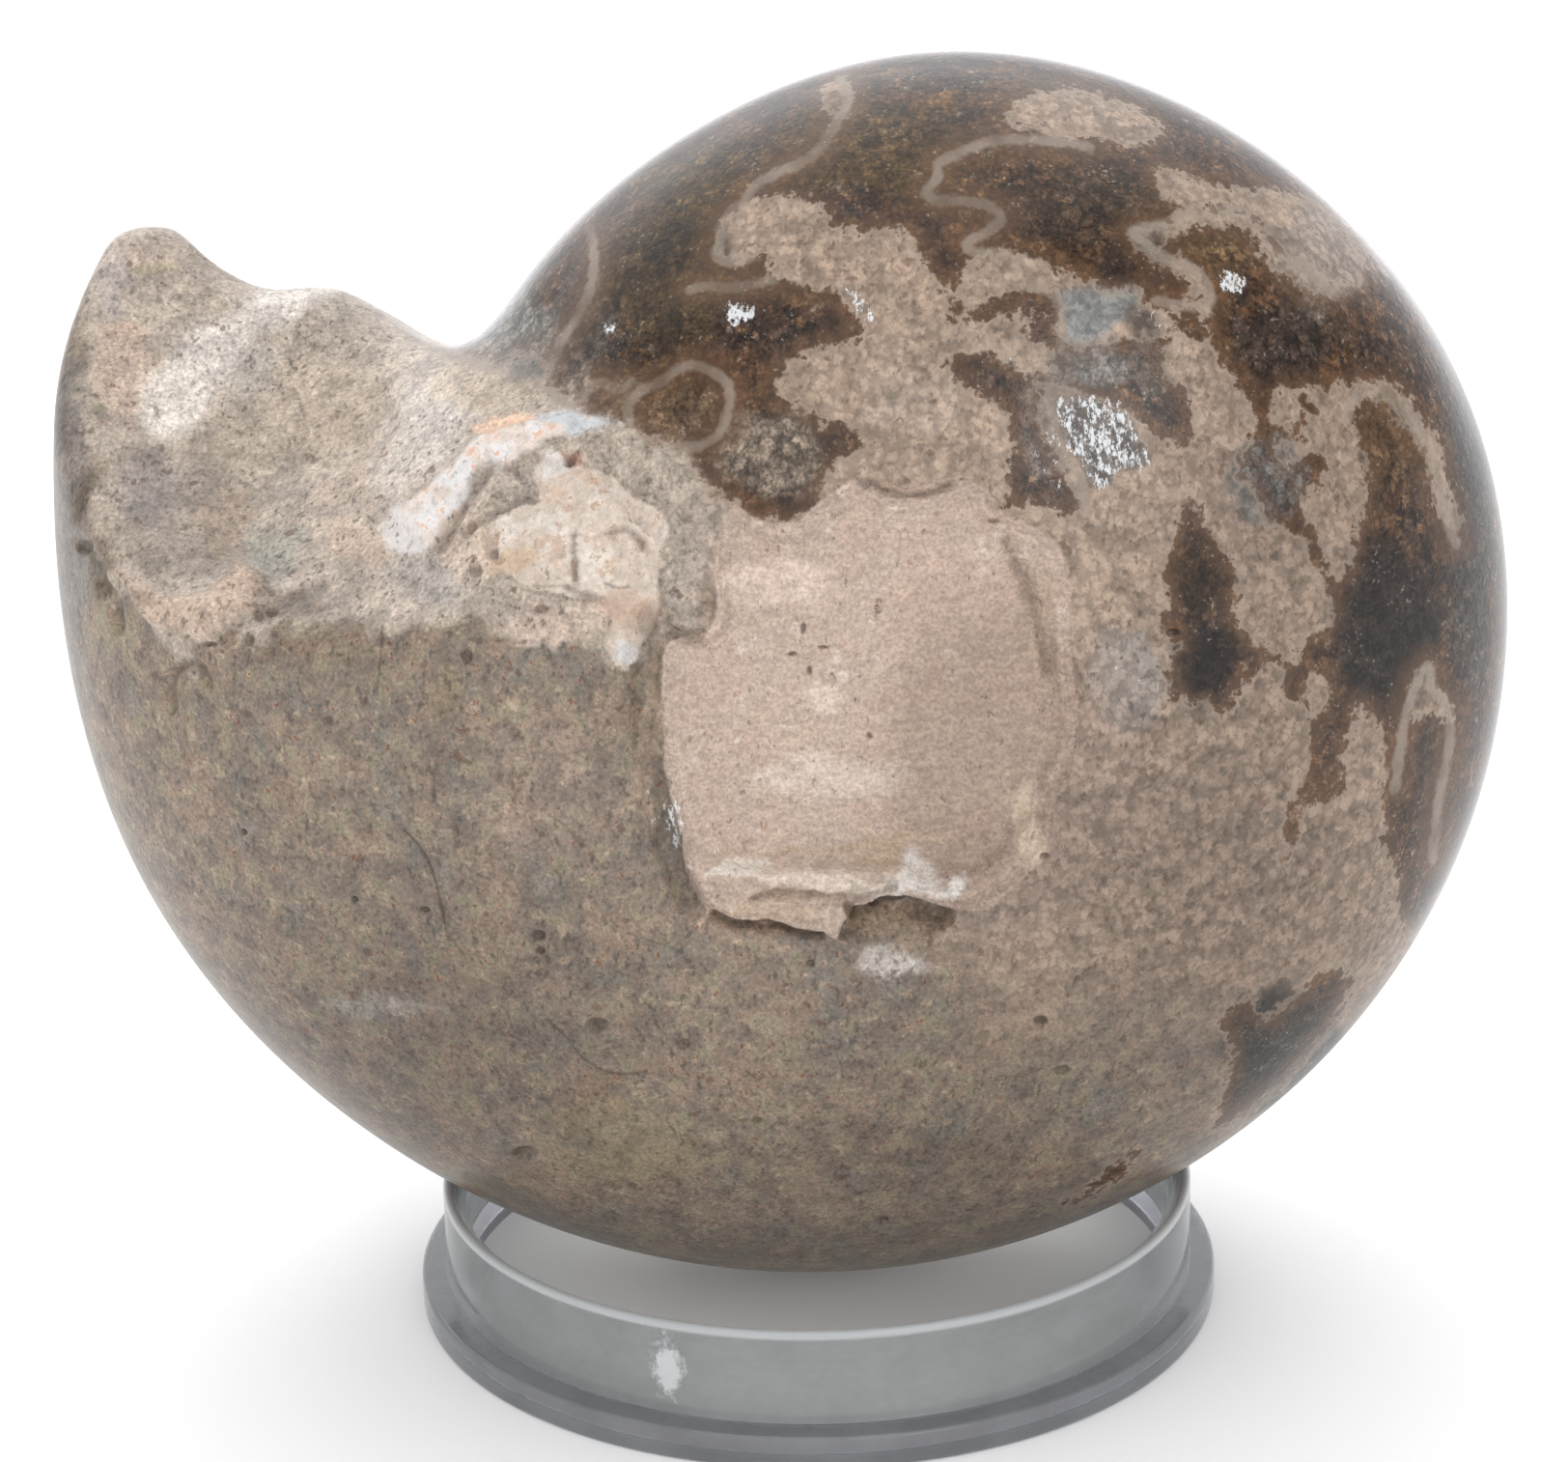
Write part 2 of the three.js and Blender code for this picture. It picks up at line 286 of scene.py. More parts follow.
def soft_max(a, b, width):
    """The larger of two values, rounded where they cross."""
    blend_part = np.clip(0.5 + 0.5 * (a - b) / width, 0, 1)
    return b + (a - b) * blend_part + width * blend_part * (1 - blend_part)


def soft_min(a, b, width):
    """The smaller of two values, rounded where they cross."""
    return -soft_max(-a, -b, width)


def curve_part(a, b, c, d, u):
    """The smooth curve from b to c, whose neighbours are a and d, at u from 0 to 1."""
    return 0.5 * (
        2 * b + (c - a) * u + (2 * a - 5 * b + 4 * c - d) * u ** 2 + (3 * b - a - 3 * c + d) * u ** 3
    )


def through(values, position):
    """The smooth curve through evenly spaced values."""
    values = np.asarray(values, float)
    last = len(values) - 1
    place = np.clip(position, 0, last - 1e-9)
    index = np.floor(place).astype(int)
    u = place - index
    a, b, c, d = (values[np.clip(index + step, 0, last)] for step in (-1, 0, 1, 2))
    return curve_part(a, b, c, d, u)


def whorl_distance(radius, y, turn):
    """Negative inside the coil, whose outer edge is farther out at each turn."""
    outer = through(OUTER_RADII, (turn - FIRST_TURN) / RADIUS_STEP)
    part = radius / outer
    flank = HALF_THICKNESS_START + HALF_THICKNESS_PER_DEGREE * (turn - FIRST_TURN)
    half = HALF_THICKNESS_CENTRE + (flank - HALF_THICKNESS_CENTRE) * smooth_step(*CENTRE_FADE, part)
    return ((part ** FLANK_POWER + (y / half) ** 2) ** LEVEL_POWER - 1) * outer * LEVEL_SCALE


def break_distance(points):
    """Positive where the body chamber is broken away."""
    hollow = FACE_RADIUS - np.linalg.norm(points - FACE_CENTRE, axis=1)
    dx, dz = points[:, 0] - COIL_CENTRE[0], points[:, 2] - COIL_CENTRE[2]
    along = dx * math.cos(CREST_ANGLE) + dz * math.sin(CREST_ANGLE)
    above = dx * math.sin(CREST_ANGLE) - dz * math.cos(CREST_ANGLE)
    crest = through(CREST_HEIGHTS, (along - CREST_START) / CREST_STEP)
    over_crest = above - crest + CREST_BACK_FALL * np.maximum(points[:, 1] - CREST_BACK, 0)
    over_crest = soft_min(over_crest, along - CREST_INNER_END, CREST_INNER_SOFTNESS)
    return soft_max(hollow, over_crest, CREST_SOFTNESS)


def fossil_distance(points):
    """Negative inside the fossil, positive outside."""
    dx, y, dz = points[:, 0] - COIL_CENTRE[0], points[:, 1], points[:, 2] - COIL_CENTRE[2]
    radius = np.hypot(dx, dz)
    turn = (OPENING_ANGLE - np.degrees(np.arctan2(dz, dx)) + 720) % 360
    inner = whorl_distance(radius, y, np.where(turn > 180, turn - 360, turn))
    shell = whorl_distance(radius, y, turn)
    joined = shell + (inner - shell) * smooth_step(*JOINED_TURNS, turn) * smooth_step(*JOINED_RADII, radius)
    broken = soft_max(joined, break_distance(points), BREAK_SOFTNESS)
    above_tip = np.where(points[:, 0] < TIP_END_X, points[:, 2] + TIP_SLOPE * y - TIP_TOP, NO_TIP)
    broken = soft_max(broken, above_tip, TIP_SOFTNESS)
    fill = (np.linalg.norm((points - FILL_CENTRE) / FILL_RADII, axis=1) - 1) * FILL_SCALE
    filled = soft_min(broken, fill, FILL_SOFTNESS)
    seam = np.where(turn < 180, smooth_step(*SEAM_FIRST_TURNS, turn), smooth_step(*SEAM_LAST_TURNS, turn))
    whole = soft_min(inner, filled, SEAM_SOFTNESS * np.maximum(seam, SEAM_LEAST))
    return np.where((turn > INNER_TURNS[0]) & (turn < INNER_TURNS[1]), inner, whole)


def surface_points(points):
    """Moves points to the surface, along the rays from the ray centre."""
    directions = points - RAY_CENTRE
    directions = directions / np.linalg.norm(directions, axis=1)[:, None]
    near = np.zeros(len(points))
    far = np.full(len(points), float(RAY_REACH))
    running = np.arange(len(points))
    for reach in np.linspace(0, RAY_REACH, RAY_STEPS + 1)[1:]:
        outside = fossil_distance(RAY_CENTRE + directions[running] * reach) > 0
        far[running[outside]] = reach
        running = running[~outside]
        near[running] = reach
        if not len(running):
            break
    for _ in range(BISECTIONS):
        middle = (near + far) / 2
        outside = fossil_distance(RAY_CENTRE + directions * middle[:, None]) > 0
        far = np.where(outside, middle, far)
        near = np.where(outside, near, middle)
    return RAY_CENTRE + directions * ((near + far) / 2)[:, None]


def edges_of(faces, count):
    """The edges of triangles, and the edge of each triangle's three sides."""
    starts, ends = faces.ravel(), np.roll(faces, -1, axis=1).ravel()
    keys = np.minimum(starts, ends).astype(np.int64) * count + np.maximum(starts, ends)
    edges, sides = np.unique(keys, return_inverse=True)
    return np.column_stack([edges // count, edges % count]), sides.reshape(-1, 3)


def evened(points, faces, rounds):
    """Spreads the points evenly over the surface."""
    edges, _ = edges_of(faces, len(points))
    counts = np.bincount(edges.ravel(), minlength=len(points))[:, None]
    for _ in range(rounds):
        sums = np.zeros_like(points)
        np.add.at(sums, edges[:, 0], points[edges[:, 1]])
        np.add.at(sums, edges[:, 1], points[edges[:, 0]])
        points = surface_points((points + sums / counts) / 2)
    return points


def split_long_edges(points, faces, wanted):
    """Halves each edge that is longer than wanted at its middle."""
    edges, sides = edges_of(faces, len(points))
    middles = points[edges].mean(axis=1)
    lengths = np.linalg.norm(points[edges[:, 0]] - points[edges[:, 1]], axis=1)
    halved = lengths > wanted(middles)
    numbers = np.full(len(edges), -1)
    numbers[halved] = len(points) + np.arange(halved.sum())
    points = np.vstack([points, surface_points(middles[halved])])
    between = numbers[sides]
    count = (between >= 0).sum(axis=1)
    made = [faces[count == 0]]
    one, two, three = (np.flatnonzero(count == number) for number in (1, 2, 3))
    turned = (np.argmax(between[one] >= 0, axis=1)[:, None] + np.arange(3)) % 3
    a, b, c = faces[one[:, None], turned].T
    m = between[one[:, None], turned][:, 0]
    made += [np.column_stack(part) for part in ((a, m, c), (m, b, c))]
    turned = (np.argmin(between[two] >= 0, axis=1)[:, None] + 1 + np.arange(3)) % 3
    a, b, c = faces[two[:, None], turned].T
    m, n, _ = between[two[:, None], turned].T
    made += [np.column_stack(part) for part in ((m, b, n), (a, m, n), (a, n, c))]
    a, b, c = faces[three].T
    m, n, o = between[three].T
    made += [np.column_stack(part) for part in ((a, m, o), (m, b, n), (o, n, c), (m, n, o))]
    return points, np.vstack(made)


# Marks on the fossil, in pixels of the photograph. They are laid on the stone through the camera's eye,
# and continue over its edge to the back, turned about the coil's centre.
DARK_STONE = [
    [
        (455, 340), (462, 364), (500, 382), (548, 366), (566, 382), (560, 398), (590, 412), (600, 432),
        (640, 440), (670, 452), (700, 466), (722, 492), (745, 508), (775, 536), (800, 541), (830, 534),
        (850, 518), (858, 492), (880, 474), (900, 462), (896, 450), (885, 440), (868, 434), (850, 436),
        (838, 424), (815, 414), (803, 402), (812, 384), (832, 368), (862, 358), (895, 352), (893, 330),
        (872, 312), (868, 296), (848, 302), (830, 291), (800, 286), (798, 266), (766, 270), (743, 262),
        (748, 234), (770, 216), (800, 204), (830, 207), (850, 218), (862, 236), (895, 242), (920, 238),
        (946, 250), (950, 272), (966, 286), (976, 306), (992, 304), (1010, 316), (1050, 300), (1090, 304),
        (1100, 318), (1098, 346), (1120, 360), (1140, 352), (1180, 350), (1205, 345), (1215, 352),
        (1205, 375), (1218, 392), (1232, 410), (1240, 440), (1232, 462), (1200, 456), (1170, 430),
        (1150, 420), (1100, 402), (1078, 402), (1086, 450), (1100, 478), (1118, 516), (1114, 540),
        (1080, 528), (1045, 527), (1038, 500), (1046, 470), (1042, 432), (1020, 414), (985, 392),
        (975, 374), (1000, 362), (1030, 364), (1060, 385), (1090, 385), (1080, 360), (1052, 345),
        (1060, 325), (1020, 330), (980, 335), (1000, 280), (1050, 262), (1140, 300), (1178, 300),
        (1182, 318), (1212, 322), (1250, 312), (1248, 340), (1258, 372), (1272, 392), (1284, 406),
        (1300, 440), (1284, 466), (1280, 496), (1300, 512), (1310, 540), (1345, 556), (1352, 578),
        (1368, 604), (1380, 622), (1372, 648), (1348, 662), (1338, 688), (1314, 672), (1290, 652),
        (1282, 626), (1284, 592), (1262, 560), (1240, 520), (1222, 524), (1214, 556), (1204, 584),
        (1206, 620), (1200, 652), (1216, 668), (1206, 694), (1212, 722), (1228, 732), (1250, 730),
        (1262, 746), (1276, 734), (1288, 712), (1306, 700), (1320, 688), (1330, 700), (1326, 716),
        (1342, 728), (1352, 740), (1350, 800), (1334, 830), (1326, 856), (1330, 880), (1322, 896),
        (1342, 880), (1354, 840), (1376, 830), (1394, 826), (1392, 790), (1404, 745), (1411, 732),
        (1424, 752), (1434, 790), (1430, 830), (1432, 880), (1446, 908), (1452, 960), (1520, 1000),
        (1620, 700), (1500, 120), (1060, 10), (700, 60), (450, 250),
    ],
    [
        (1262, 1060), (1278, 1042), (1294, 1026), (1302, 1046), (1318, 1052), (1334, 1036), (1350, 1018),
        (1372, 1004), (1402, 1008), (1392, 1046), (1364, 1084), (1344, 1108), (1320, 1132), (1290, 1154),
        (1258, 1172), (1264, 1132), (1273, 1104), (1274, 1084),
    ],
    [(1100, 1244), (1130, 1226), (1158, 1200), (1182, 1190), (1172, 1210), (1146, 1232), (1112, 1250)],
]
PALE_ISLANDS = [
    [(1172, 240), (1192, 236), (1212, 230), (1226, 222), (1248, 222), (1272, 218), (1292, 223), (1306, 240),
     (1322, 262), (1342, 271), (1358, 286), (1382, 302), (1352, 300), (1330, 285), (1308, 262), (1290, 234),
     (1262, 232), (1236, 232), (1214, 244), (1204, 258), (1232, 274), (1248, 292), (1252, 314), (1240, 306),
     (1224, 284), (1200, 268), (1186, 256)],
    [(1205, 200), (1216, 208), (1236, 218), (1252, 214), (1290, 212), (1310, 232), (1330, 258), (1352, 276),
     (1380, 296), (1410, 290), (1400, 250), (1360, 210), (1300, 196), (1250, 196), (1220, 180),
     (1196, 176)],
    [(1318, 412), (1332, 404), (1344, 412), (1346, 428), (1334, 440), (1320, 434)],
    [(1326, 462), (1338, 456), (1342, 470), (1334, 480), (1326, 474)],
    [(1352, 400), (1380, 402), (1402, 398), (1430, 396), (1450, 408), (1478, 444), (1490, 462), (1496, 500),
     (1512, 540), (1496, 536), (1484, 500), (1478, 466), (1456, 442), (1440, 420), (1420, 410), (1398, 424),
     (1404, 452), (1414, 484), (1412, 512), (1402, 548), (1398, 580), (1386, 596), (1376, 580), (1368, 556),
     (1354, 530), (1352, 510), (1376, 500), (1368, 472), (1352, 462), (1350, 440), (1366, 424)],
    [(1352, 716), (1364, 702), (1376, 712), (1370, 730), (1358, 742)],
    [(1462, 722), (1470, 700), (1480, 690), (1484, 708), (1498, 728), (1500, 744), (1478, 738),
     (1462, 742)],
    [(868, 84), (880, 92), (878, 112), (860, 116), (852, 100)],
    [(1050, 112), (1090, 96), (1140, 100), (1200, 130), (1180, 150), (1130, 140), (1080, 138), (1056, 130)],
]
DARK_CHAMBERS_IN_PALE = [
    [(1216, 324), (1236, 320), (1246, 332), (1250, 348), (1232, 350), (1220, 342)],
    [(602, 430), (606, 412), (618, 400), (632, 402), (640, 416), (634, 432), (618, 436)],
]
SUTURES = [
    [(870, 84), (878, 100), (870, 120), (852, 150), (838, 164), (815, 175), (795, 184), (780, 195),
     (770, 210), (755, 222), (747, 236), (746, 252), (742, 264), (756, 272), (776, 266)],
    [(1128, 152), (1090, 146), (1040, 145), (1015, 150), (990, 160), (972, 170), (972, 184), (958, 200),
     (970, 207), (1000, 208), (1022, 213), (1037, 222), (1030, 236), (1010, 246), (1001, 256), (1012, 262),
     (1036, 262), (1050, 271), (1054, 286), (1052, 294), (1072, 297), (1092, 306), (1098, 320), (1100, 346),
     (1098, 362)],
    [(610, 236), (614, 252), (615, 280), (608, 308), (592, 338), (577, 362), (566, 388)],
    [(652, 436), (650, 420), (664, 404), (684, 396), (700, 384), (716, 378), (736, 384), (752, 396),
     (756, 414), (752, 436), (742, 452), (722, 462), (704, 464)],
    [(600, 432), (606, 408), (622, 396), (640, 404), (652, 396)],
    [(715, 300), (735, 296), (760, 298), (800, 290)],
    [(1172, 240), (1190, 256), (1210, 269), (1232, 276), (1248, 292), (1253, 314), (1230, 317),
     (1196, 311)],
    [(1172, 240), (1192, 235), (1212, 231), (1226, 222), (1248, 222), (1272, 217), (1292, 222), (1306, 240),
     (1322, 261), (1342, 271), (1358, 286), (1384, 303)],
    [(1395, 432), (1402, 412), (1430, 404), (1450, 424), (1472, 450), (1482, 474), (1488, 502), (1498, 532),
     (1508, 564)],
    [(1444, 818), (1449, 790), (1452, 760), (1458, 735), (1466, 712), (1474, 696), (1481, 692), (1482, 712),
     (1494, 724), (1502, 740), (1501, 770), (1496, 800), (1490, 830), (1487, 858), (1483, 890)],
    [(1086, 404), (1092, 440), (1104, 470), (1120, 500), (1124, 530)],
    [(452, 362), (470, 366), (520, 386), (560, 400), (600, 430)],
]
NAVEL_PLUG = [
    (758, 521), (783, 537), (814, 542), (839, 529), (865, 506), (890, 495), (921, 505), (982, 495),
    (1022, 508), (1040, 533), (1084, 552), (1106, 585), (1112, 687), (1120, 764), (1092, 830), (1077, 884),
    (1036, 925), (987, 940), (921, 925), (882, 935), (865, 964), (803, 961), (737, 945), (714, 915),
    (706, 866), (692, 815), (686, 775), (686, 700), (692, 665), (730, 655), (743, 630), (740, 590),
    (745, 555),
]

# Patches with an edge of their own on the front: the length of a triangle's edge there, the height of the
# patch, where the step to it starts and ends across its outline, how rough it is, and its outline.
PATCHES = {
    "oval": (0.45, -0.40, 0.6, -0.9, 0.05, [
        (104, 480), (150, 462), (205, 447), (262, 436), (292, 405), (345, 362), (392, 372), (410, 420),
        (400, 462), (350, 482), (312, 498), (290, 520), (282, 550), (264, 580), (240, 588), (205, 612),
        (170, 608), (127, 592), (108, 560), (100, 520),
    ]),
    "ledge": (0.36, 0.50, 0.2, -0.35, 0.22, [
        (118, 590), (135, 592), (150, 604), (180, 616), (210, 614), (232, 600), (246, 584), (258, 588),
        (278, 600), (270, 616), (256, 634), (240, 648), (212, 660), (190, 656), (165, 650), (148, 636),
        (136, 614),
    ]),
    "ridge": (0.34, 0.38, 0.35, -0.85, 0.22, [
        (400, 548), (410, 530), (430, 514), (455, 492), (478, 470), (490, 456), (520, 442), (560, 432),
        (600, 429), (626, 433), (622, 444), (600, 450), (570, 456), (548, 470), (520, 484), (500, 482),
        (488, 498), (474, 524), (462, 545), (452, 566), (436, 575), (415, 572), (402, 562),
    ]),
    "chalk": (0.34, -0.30, 0.15, -0.30, 0.22, [
        (500, 552), (508, 538), (530, 526), (556, 515), (552, 492), (560, 474), (584, 470), (606, 484),
        (628, 490), (650, 508), (668, 520), (690, 536), (692, 556), (684, 572), (690, 584), (680, 600),
        (684, 620), (676, 650), (660, 676), (650, 694), (636, 686), (626, 664), (634, 640), (616, 624),
        (590, 618), (560, 612), (540, 604), (520, 590), (504, 574),
    ]),
    "rock": (0.40, 0.22, 0.3, -0.30, 0.36, [
        (560, 462), (590, 453), (626, 442), (650, 447), (690, 472), (722, 496), (748, 512), (748, 540),
        (735, 560), (715, 566), (700, 548), (684, 534), (664, 516), (645, 503), (622, 486), (604, 478),
        (590, 468),
    ]),
    "chunk": (0.30, 0.42, 0.12, -0.28, 0.34, [
        (686, 612), (700, 602), (722, 608), (735, 630), (727, 650), (704, 652), (688, 640),
    ]),
    "lip": (0.20, 0.0, 0.1, -0.2, 0.30, [
        (708, 872), (728, 880), (742, 892), (762, 897), (790, 902), (825, 902), (855, 900), (885, 898),
        (910, 898), (925, 895), (938, 895), (948, 902), (958, 910), (975, 905), (992, 905), (1000, 911),
        (1015, 903), (1030, 890), (1045, 875), (1058, 858), (1066, 842), (1078, 846), (1092, 850),
        (1090, 880), (1075, 895), (1055, 914), (1036, 931), (1018, 941), (998, 943), (985, 941), (965, 935),
        (945, 929), (930, 928), (912, 930), (900, 936), (885, 938), (881, 947), (873, 957), (867, 971),
        (850, 965), (820, 962), (805, 958), (770, 956), (755, 950), (740, 943), (722, 926), (712, 908),
    ]),
    "cavity": (0.20, 0.0, 0.1, -0.2, 0.10, [
        (885, 939), (900, 936), (912, 930), (930, 928), (945, 930), (965, 936), (987, 942), (984, 956),
        (965, 970), (940, 977), (905, 977), (878, 974), (868, 971), (873, 957), (881, 947),
    ]),
}

# Grooves and crevices: depth, half width and points. Their colour is also darkened, as painted shade.
GROOVES = [
    (0.75, 1.2, [(672, 640), (668, 720), (674, 800), (690, 870), (712, 930)]),
    (0.30, 0.45, [(455, 566), (468, 542), (480, 520), (494, 500), (505, 488)]),
    (0.25, 0.4, [(480, 552), (500, 536), (516, 527), (546, 515)]),
    (0.20, 0.35, [(508, 478), (530, 486), (545, 500)]),
    (0.35, 0.30, [(592, 548), (593, 570), (596, 600)]),
    (0.30, 0.30, [(588, 608), (604, 616), (622, 620)]),
    (0.35, 0.35, [(632, 548), (648, 546), (664, 558), (668, 566)]),
    (0.45, 0.55, [(690, 644), (702, 656), (722, 658)]),
    (0.14, 0.60, [(270, 640), (300, 622), (335, 608)]),
    (0.30, 0.40, [(178, 735), (176, 712), (182, 694), (195, 687), (206, 692), (214, 706)]),
    (0.35, 0.45, [(100, 585), (106, 605), (118, 622), (122, 650)]),
    (0.30, 0.40, [(780, 931), (800, 927), (840, 928), (868, 930), (895, 926), (926, 917)]),
    (0.55, 0.35, [(740, 948), (765, 957), (805, 961), (822, 964), (850, 967)]),
    (0.30, 0.35, [(888, 496), (925, 508), (955, 510), (985, 500)]),
    (0.35, 0.45, [(1046, 560), (1066, 600), (1080, 650), (1088, 700)]),
]

# Dark threads in the stone: strength and points
THREADS = [
    (1.0, [(419, 860), (433, 874), (444, 892), (452, 915), (457, 938), (462, 962)]),
    (0.5, [(462, 962), (470, 975), (480, 988)]),
    (0.8, [(566, 1055), (578, 1066), (589, 1077), (600, 1092), (620, 1106), (643, 1112), (668, 1110)]),
    (0.5, [(668, 1110), (690, 1114), (713, 1117)]),
    (0.5, [(568, 844), (582, 852), (594, 866), (601, 876)]),
    (0.35, [(527, 898), (539, 923), (552, 936), (566, 944)]),
    (0.5, [(465, 770), (455, 780), (450, 800), (450, 820), (452, 838)]),
    (0.7, [(396, 648), (394, 683), (390, 716)]),
    (0.7, [(178, 740), (175, 715), (181, 694), (194, 687), (206, 692), (214, 706)]),
    (0.5, [(243, 679), (243, 700), (241, 740)]),
    (0.5, [(650, 966), (680, 976), (708, 986)]),
    (0.4, [(694, 1085), (713, 1114)]),
    (0.35, [(1000, 1125), (1040, 1117), (1073, 1105)]),
    (0.4, [(1162, 1022), (1184, 1008), (1207, 998)]),
    (0.7, [(888, 496), (925, 508), (955, 510), (985, 500)]),
    (0.6, [(778, 931), (798, 928), (802, 925), (820, 927), (840, 928)]),
    (0.5, [(868, 930), (895, 926), (908, 920), (926, 917)]),
    # A painted shadow line under the lip's lower left edge
    (0.8, [(742, 947), (765, 956), (805, 960), (822, 963)]),
    (0.3, [(320, 858), (345, 862)]),
    (0.3, [(365, 840), (380, 846), (392, 856)]),
    (0.25, [(410, 780), (424, 810), (428, 832)]),
    (0.5, [(105, 660), (100, 690), (98, 712)]),
    (0.4, [(1134, 887), (1150, 882), (1168, 885), (1178, 894), (1186, 906)]),
    (0.4, [(592, 548), (593, 570), (596, 600)]),
    (0.35, [(550, 605), (575, 607), (600, 606)]),
    (0.4, [(588, 608), (604, 616), (622, 620)]),
    (0.6, [(626, 604), (640, 609), (652, 608)]),
    (0.4, [(632, 546), (648, 545), (664, 556)]),
    (0.35, [(480, 676), (484, 700), (478, 730), (466, 756)]),
]

# Pits: middle, half width and half height in pixels
PITS = [
    (831, 652, 4, 8), (819, 682, 6, 3), (857, 674, 8, 2), (839, 702, 3, 6), (913, 633, 5, 3),
    (908, 768, 3, 4), (1030, 539, 7, 3), (558, 969, 8, 6), (618, 1062, 13, 8), (784, 1161, 6, 4),
    (708, 1082, 8, 6), (916, 1264, 5, 4), (589, 475, 9, 5), (325, 359, 8, 5), (252, 862, 4, 4),
    (840, 998, 5, 4), (1215, 655, 8, 4), (1082, 886, 6, 4),
    (258, 662, 6, 8), (266, 636, 5, 7), (216, 667, 9, 3), (367, 932, 4, 4), (440, 943, 6, 4),
    (1078, 1057, 8, 5), (1100, 1109, 10, 5), (484, 680, 6, 8), (560, 985, 5, 4), (492, 590, 8, 8),
    (487, 545, 5, 9), (508, 570, 5, 8), (561, 631, 9, 5), (88, 566, 9, 8), (545, 1195, 14, 8),
    (280, 632, 8, 5),
]
NAVEL_PIXEL = np.array([905, 715])
CURVE_PARTS = 4

# How far from a line its distance is measured, in pixels
OUTLINE_REACH = 110
STAIN_REACH = 60
LINE_REACH = 40
THREAD_REACH = 20


def photo_pixels(points):
    """Where points show in the photograph, and its pixels in a millimetre there."""
    offset = points - CAMERA_PLACE
    scale = FOCAL_PIXELS / (offset @ forward)
    return np.column_stack([
        IMAGE_SIZE[0] / 2 + scale * (offset @ right), IMAGE_SIZE[1] / 2 - scale * (offset @ up)
    ]), scale


def smooth_line(points, closed):
    """A smooth line through the points, as short straight parts."""
    points = np.asarray(points, float)
    count = len(points)
    spans = count if closed else count - 1
    line = []
    for index in range(spans):
        picks = index + np.arange(-1, 3)
        a, b, c, d = points[picks % count if closed else np.clip(picks, 0, count - 1)]
        for part in range(CURVE_PARTS):
            line.append(curve_part(a, b, c, d, part / CURVE_PARTS))
    line.append(points[0] if closed else points[-1])
    return np.array(line)


def line_distance(places, line, reach=OUTLINE_REACH):
    """Distance from each place to the line, and at most reach."""
    nearest = np.full(len(places), float(reach))
    close = np.flatnonzero(((places > line.min(0) - reach) & (places < line.max(0) + reach)).all(axis=1))
    part, best = places[close], nearest[close]
    for start, end in zip(line[:-1], line[1:]):
        side = end - start
        along = np.clip((part - start) @ side / max(side @ side, 1e-9), 0, 1)
        best = np.minimum(best, np.linalg.norm(part - start - along[:, None] * side, axis=1))
    nearest[close] = best
    return nearest


def outline_distance(places, outline, reach=OUTLINE_REACH):
    """Distance from each place to a closed outline, negative inside it."""
    line = smooth_line(outline, closed=True)
    inside = np.zeros(len(places), bool)
    close = np.flatnonzero(((places > line.min(0)) & (places < line.max(0))).all(axis=1))
    u, v = places[close].T
    within = np.zeros(len(close), bool)
    for (au, av), (bu, bv) in zip(line[:-1], line[1:]):
        if av != bv:
            within ^= ((av > v) != (bv > v)) & (u < (bu - au) * (v - av) / (bv - av) + au)
    inside[close] = within
    distance = line_distance(places, line, reach)
    return np.where(inside, -distance, distance)


BACK_TURN = math.radians(38)
BACK_TURN_RANGE = (1.0, 14.0)
BACK_PLUG_SCALE = 0.72
BACK_STRETCH = 0.08
BACK_STRETCH_WAVES = 4


def mark_places(points):
    """The pixel whose marks each point carries. Beyond the edge the marks turn about the coil."""
    pixels, scale = photo_pixels(points)
    turn = BACK_TURN * smooth_step(*BACK_TURN_RANGE, points[:, 1])
    offset = pixels - NAVEL_PIXEL
    stretch = 1 + BACK_STRETCH * np.sin(turn * BACK_STRETCH_WAVES)
    turned = np.column_stack([
        offset[:, 0] * np.cos(turn) - offset[:, 1] * np.sin(turn),
        offset[:, 0] * np.sin(turn) + offset[:, 1] * np.cos(turn),
    ]) * stretch[:, None]
    return NAVEL_PIXEL + turned, pixels, scale


def plug_distance(points, pixels, scale):
    """Millimetres to the navel plug's outline, which is smaller on the back."""
    front = outline_distance(pixels, NAVEL_PLUG) / scale
    shrunk = NAVEL_PIXEL + (pixels - NAVEL_PIXEL) / BACK_PLUG_SCALE
    back = outline_distance(shrunk, NAVEL_PLUG) * BACK_PLUG_SCALE / scale
    return np.where(points[:, 1] < 0, front, back)


def patch_distance(name, pixels, scale):
    """Millimetres to a patch's outline, negative inside it."""
    return outline_distance(pixels, PATCHES[name][-1], STAIN_REACH) / scale


def nearest_line(lines, pixels, scale, reach=LINE_REACH):
    """Millimetres to the nearest of the lines."""
    distances = [line_distance(pixels, smooth_line(line, closed=False), reach) for line in lines]
    return np.min(distances, axis=0) / scale


def ellipse_part(pixels, u, v, width, tall):
    """How far from an ellipse's middle each pixel is, with 1 at its edge."""
    return np.linalg.norm((pixels - (u, v)) / (width, tall), axis=1)


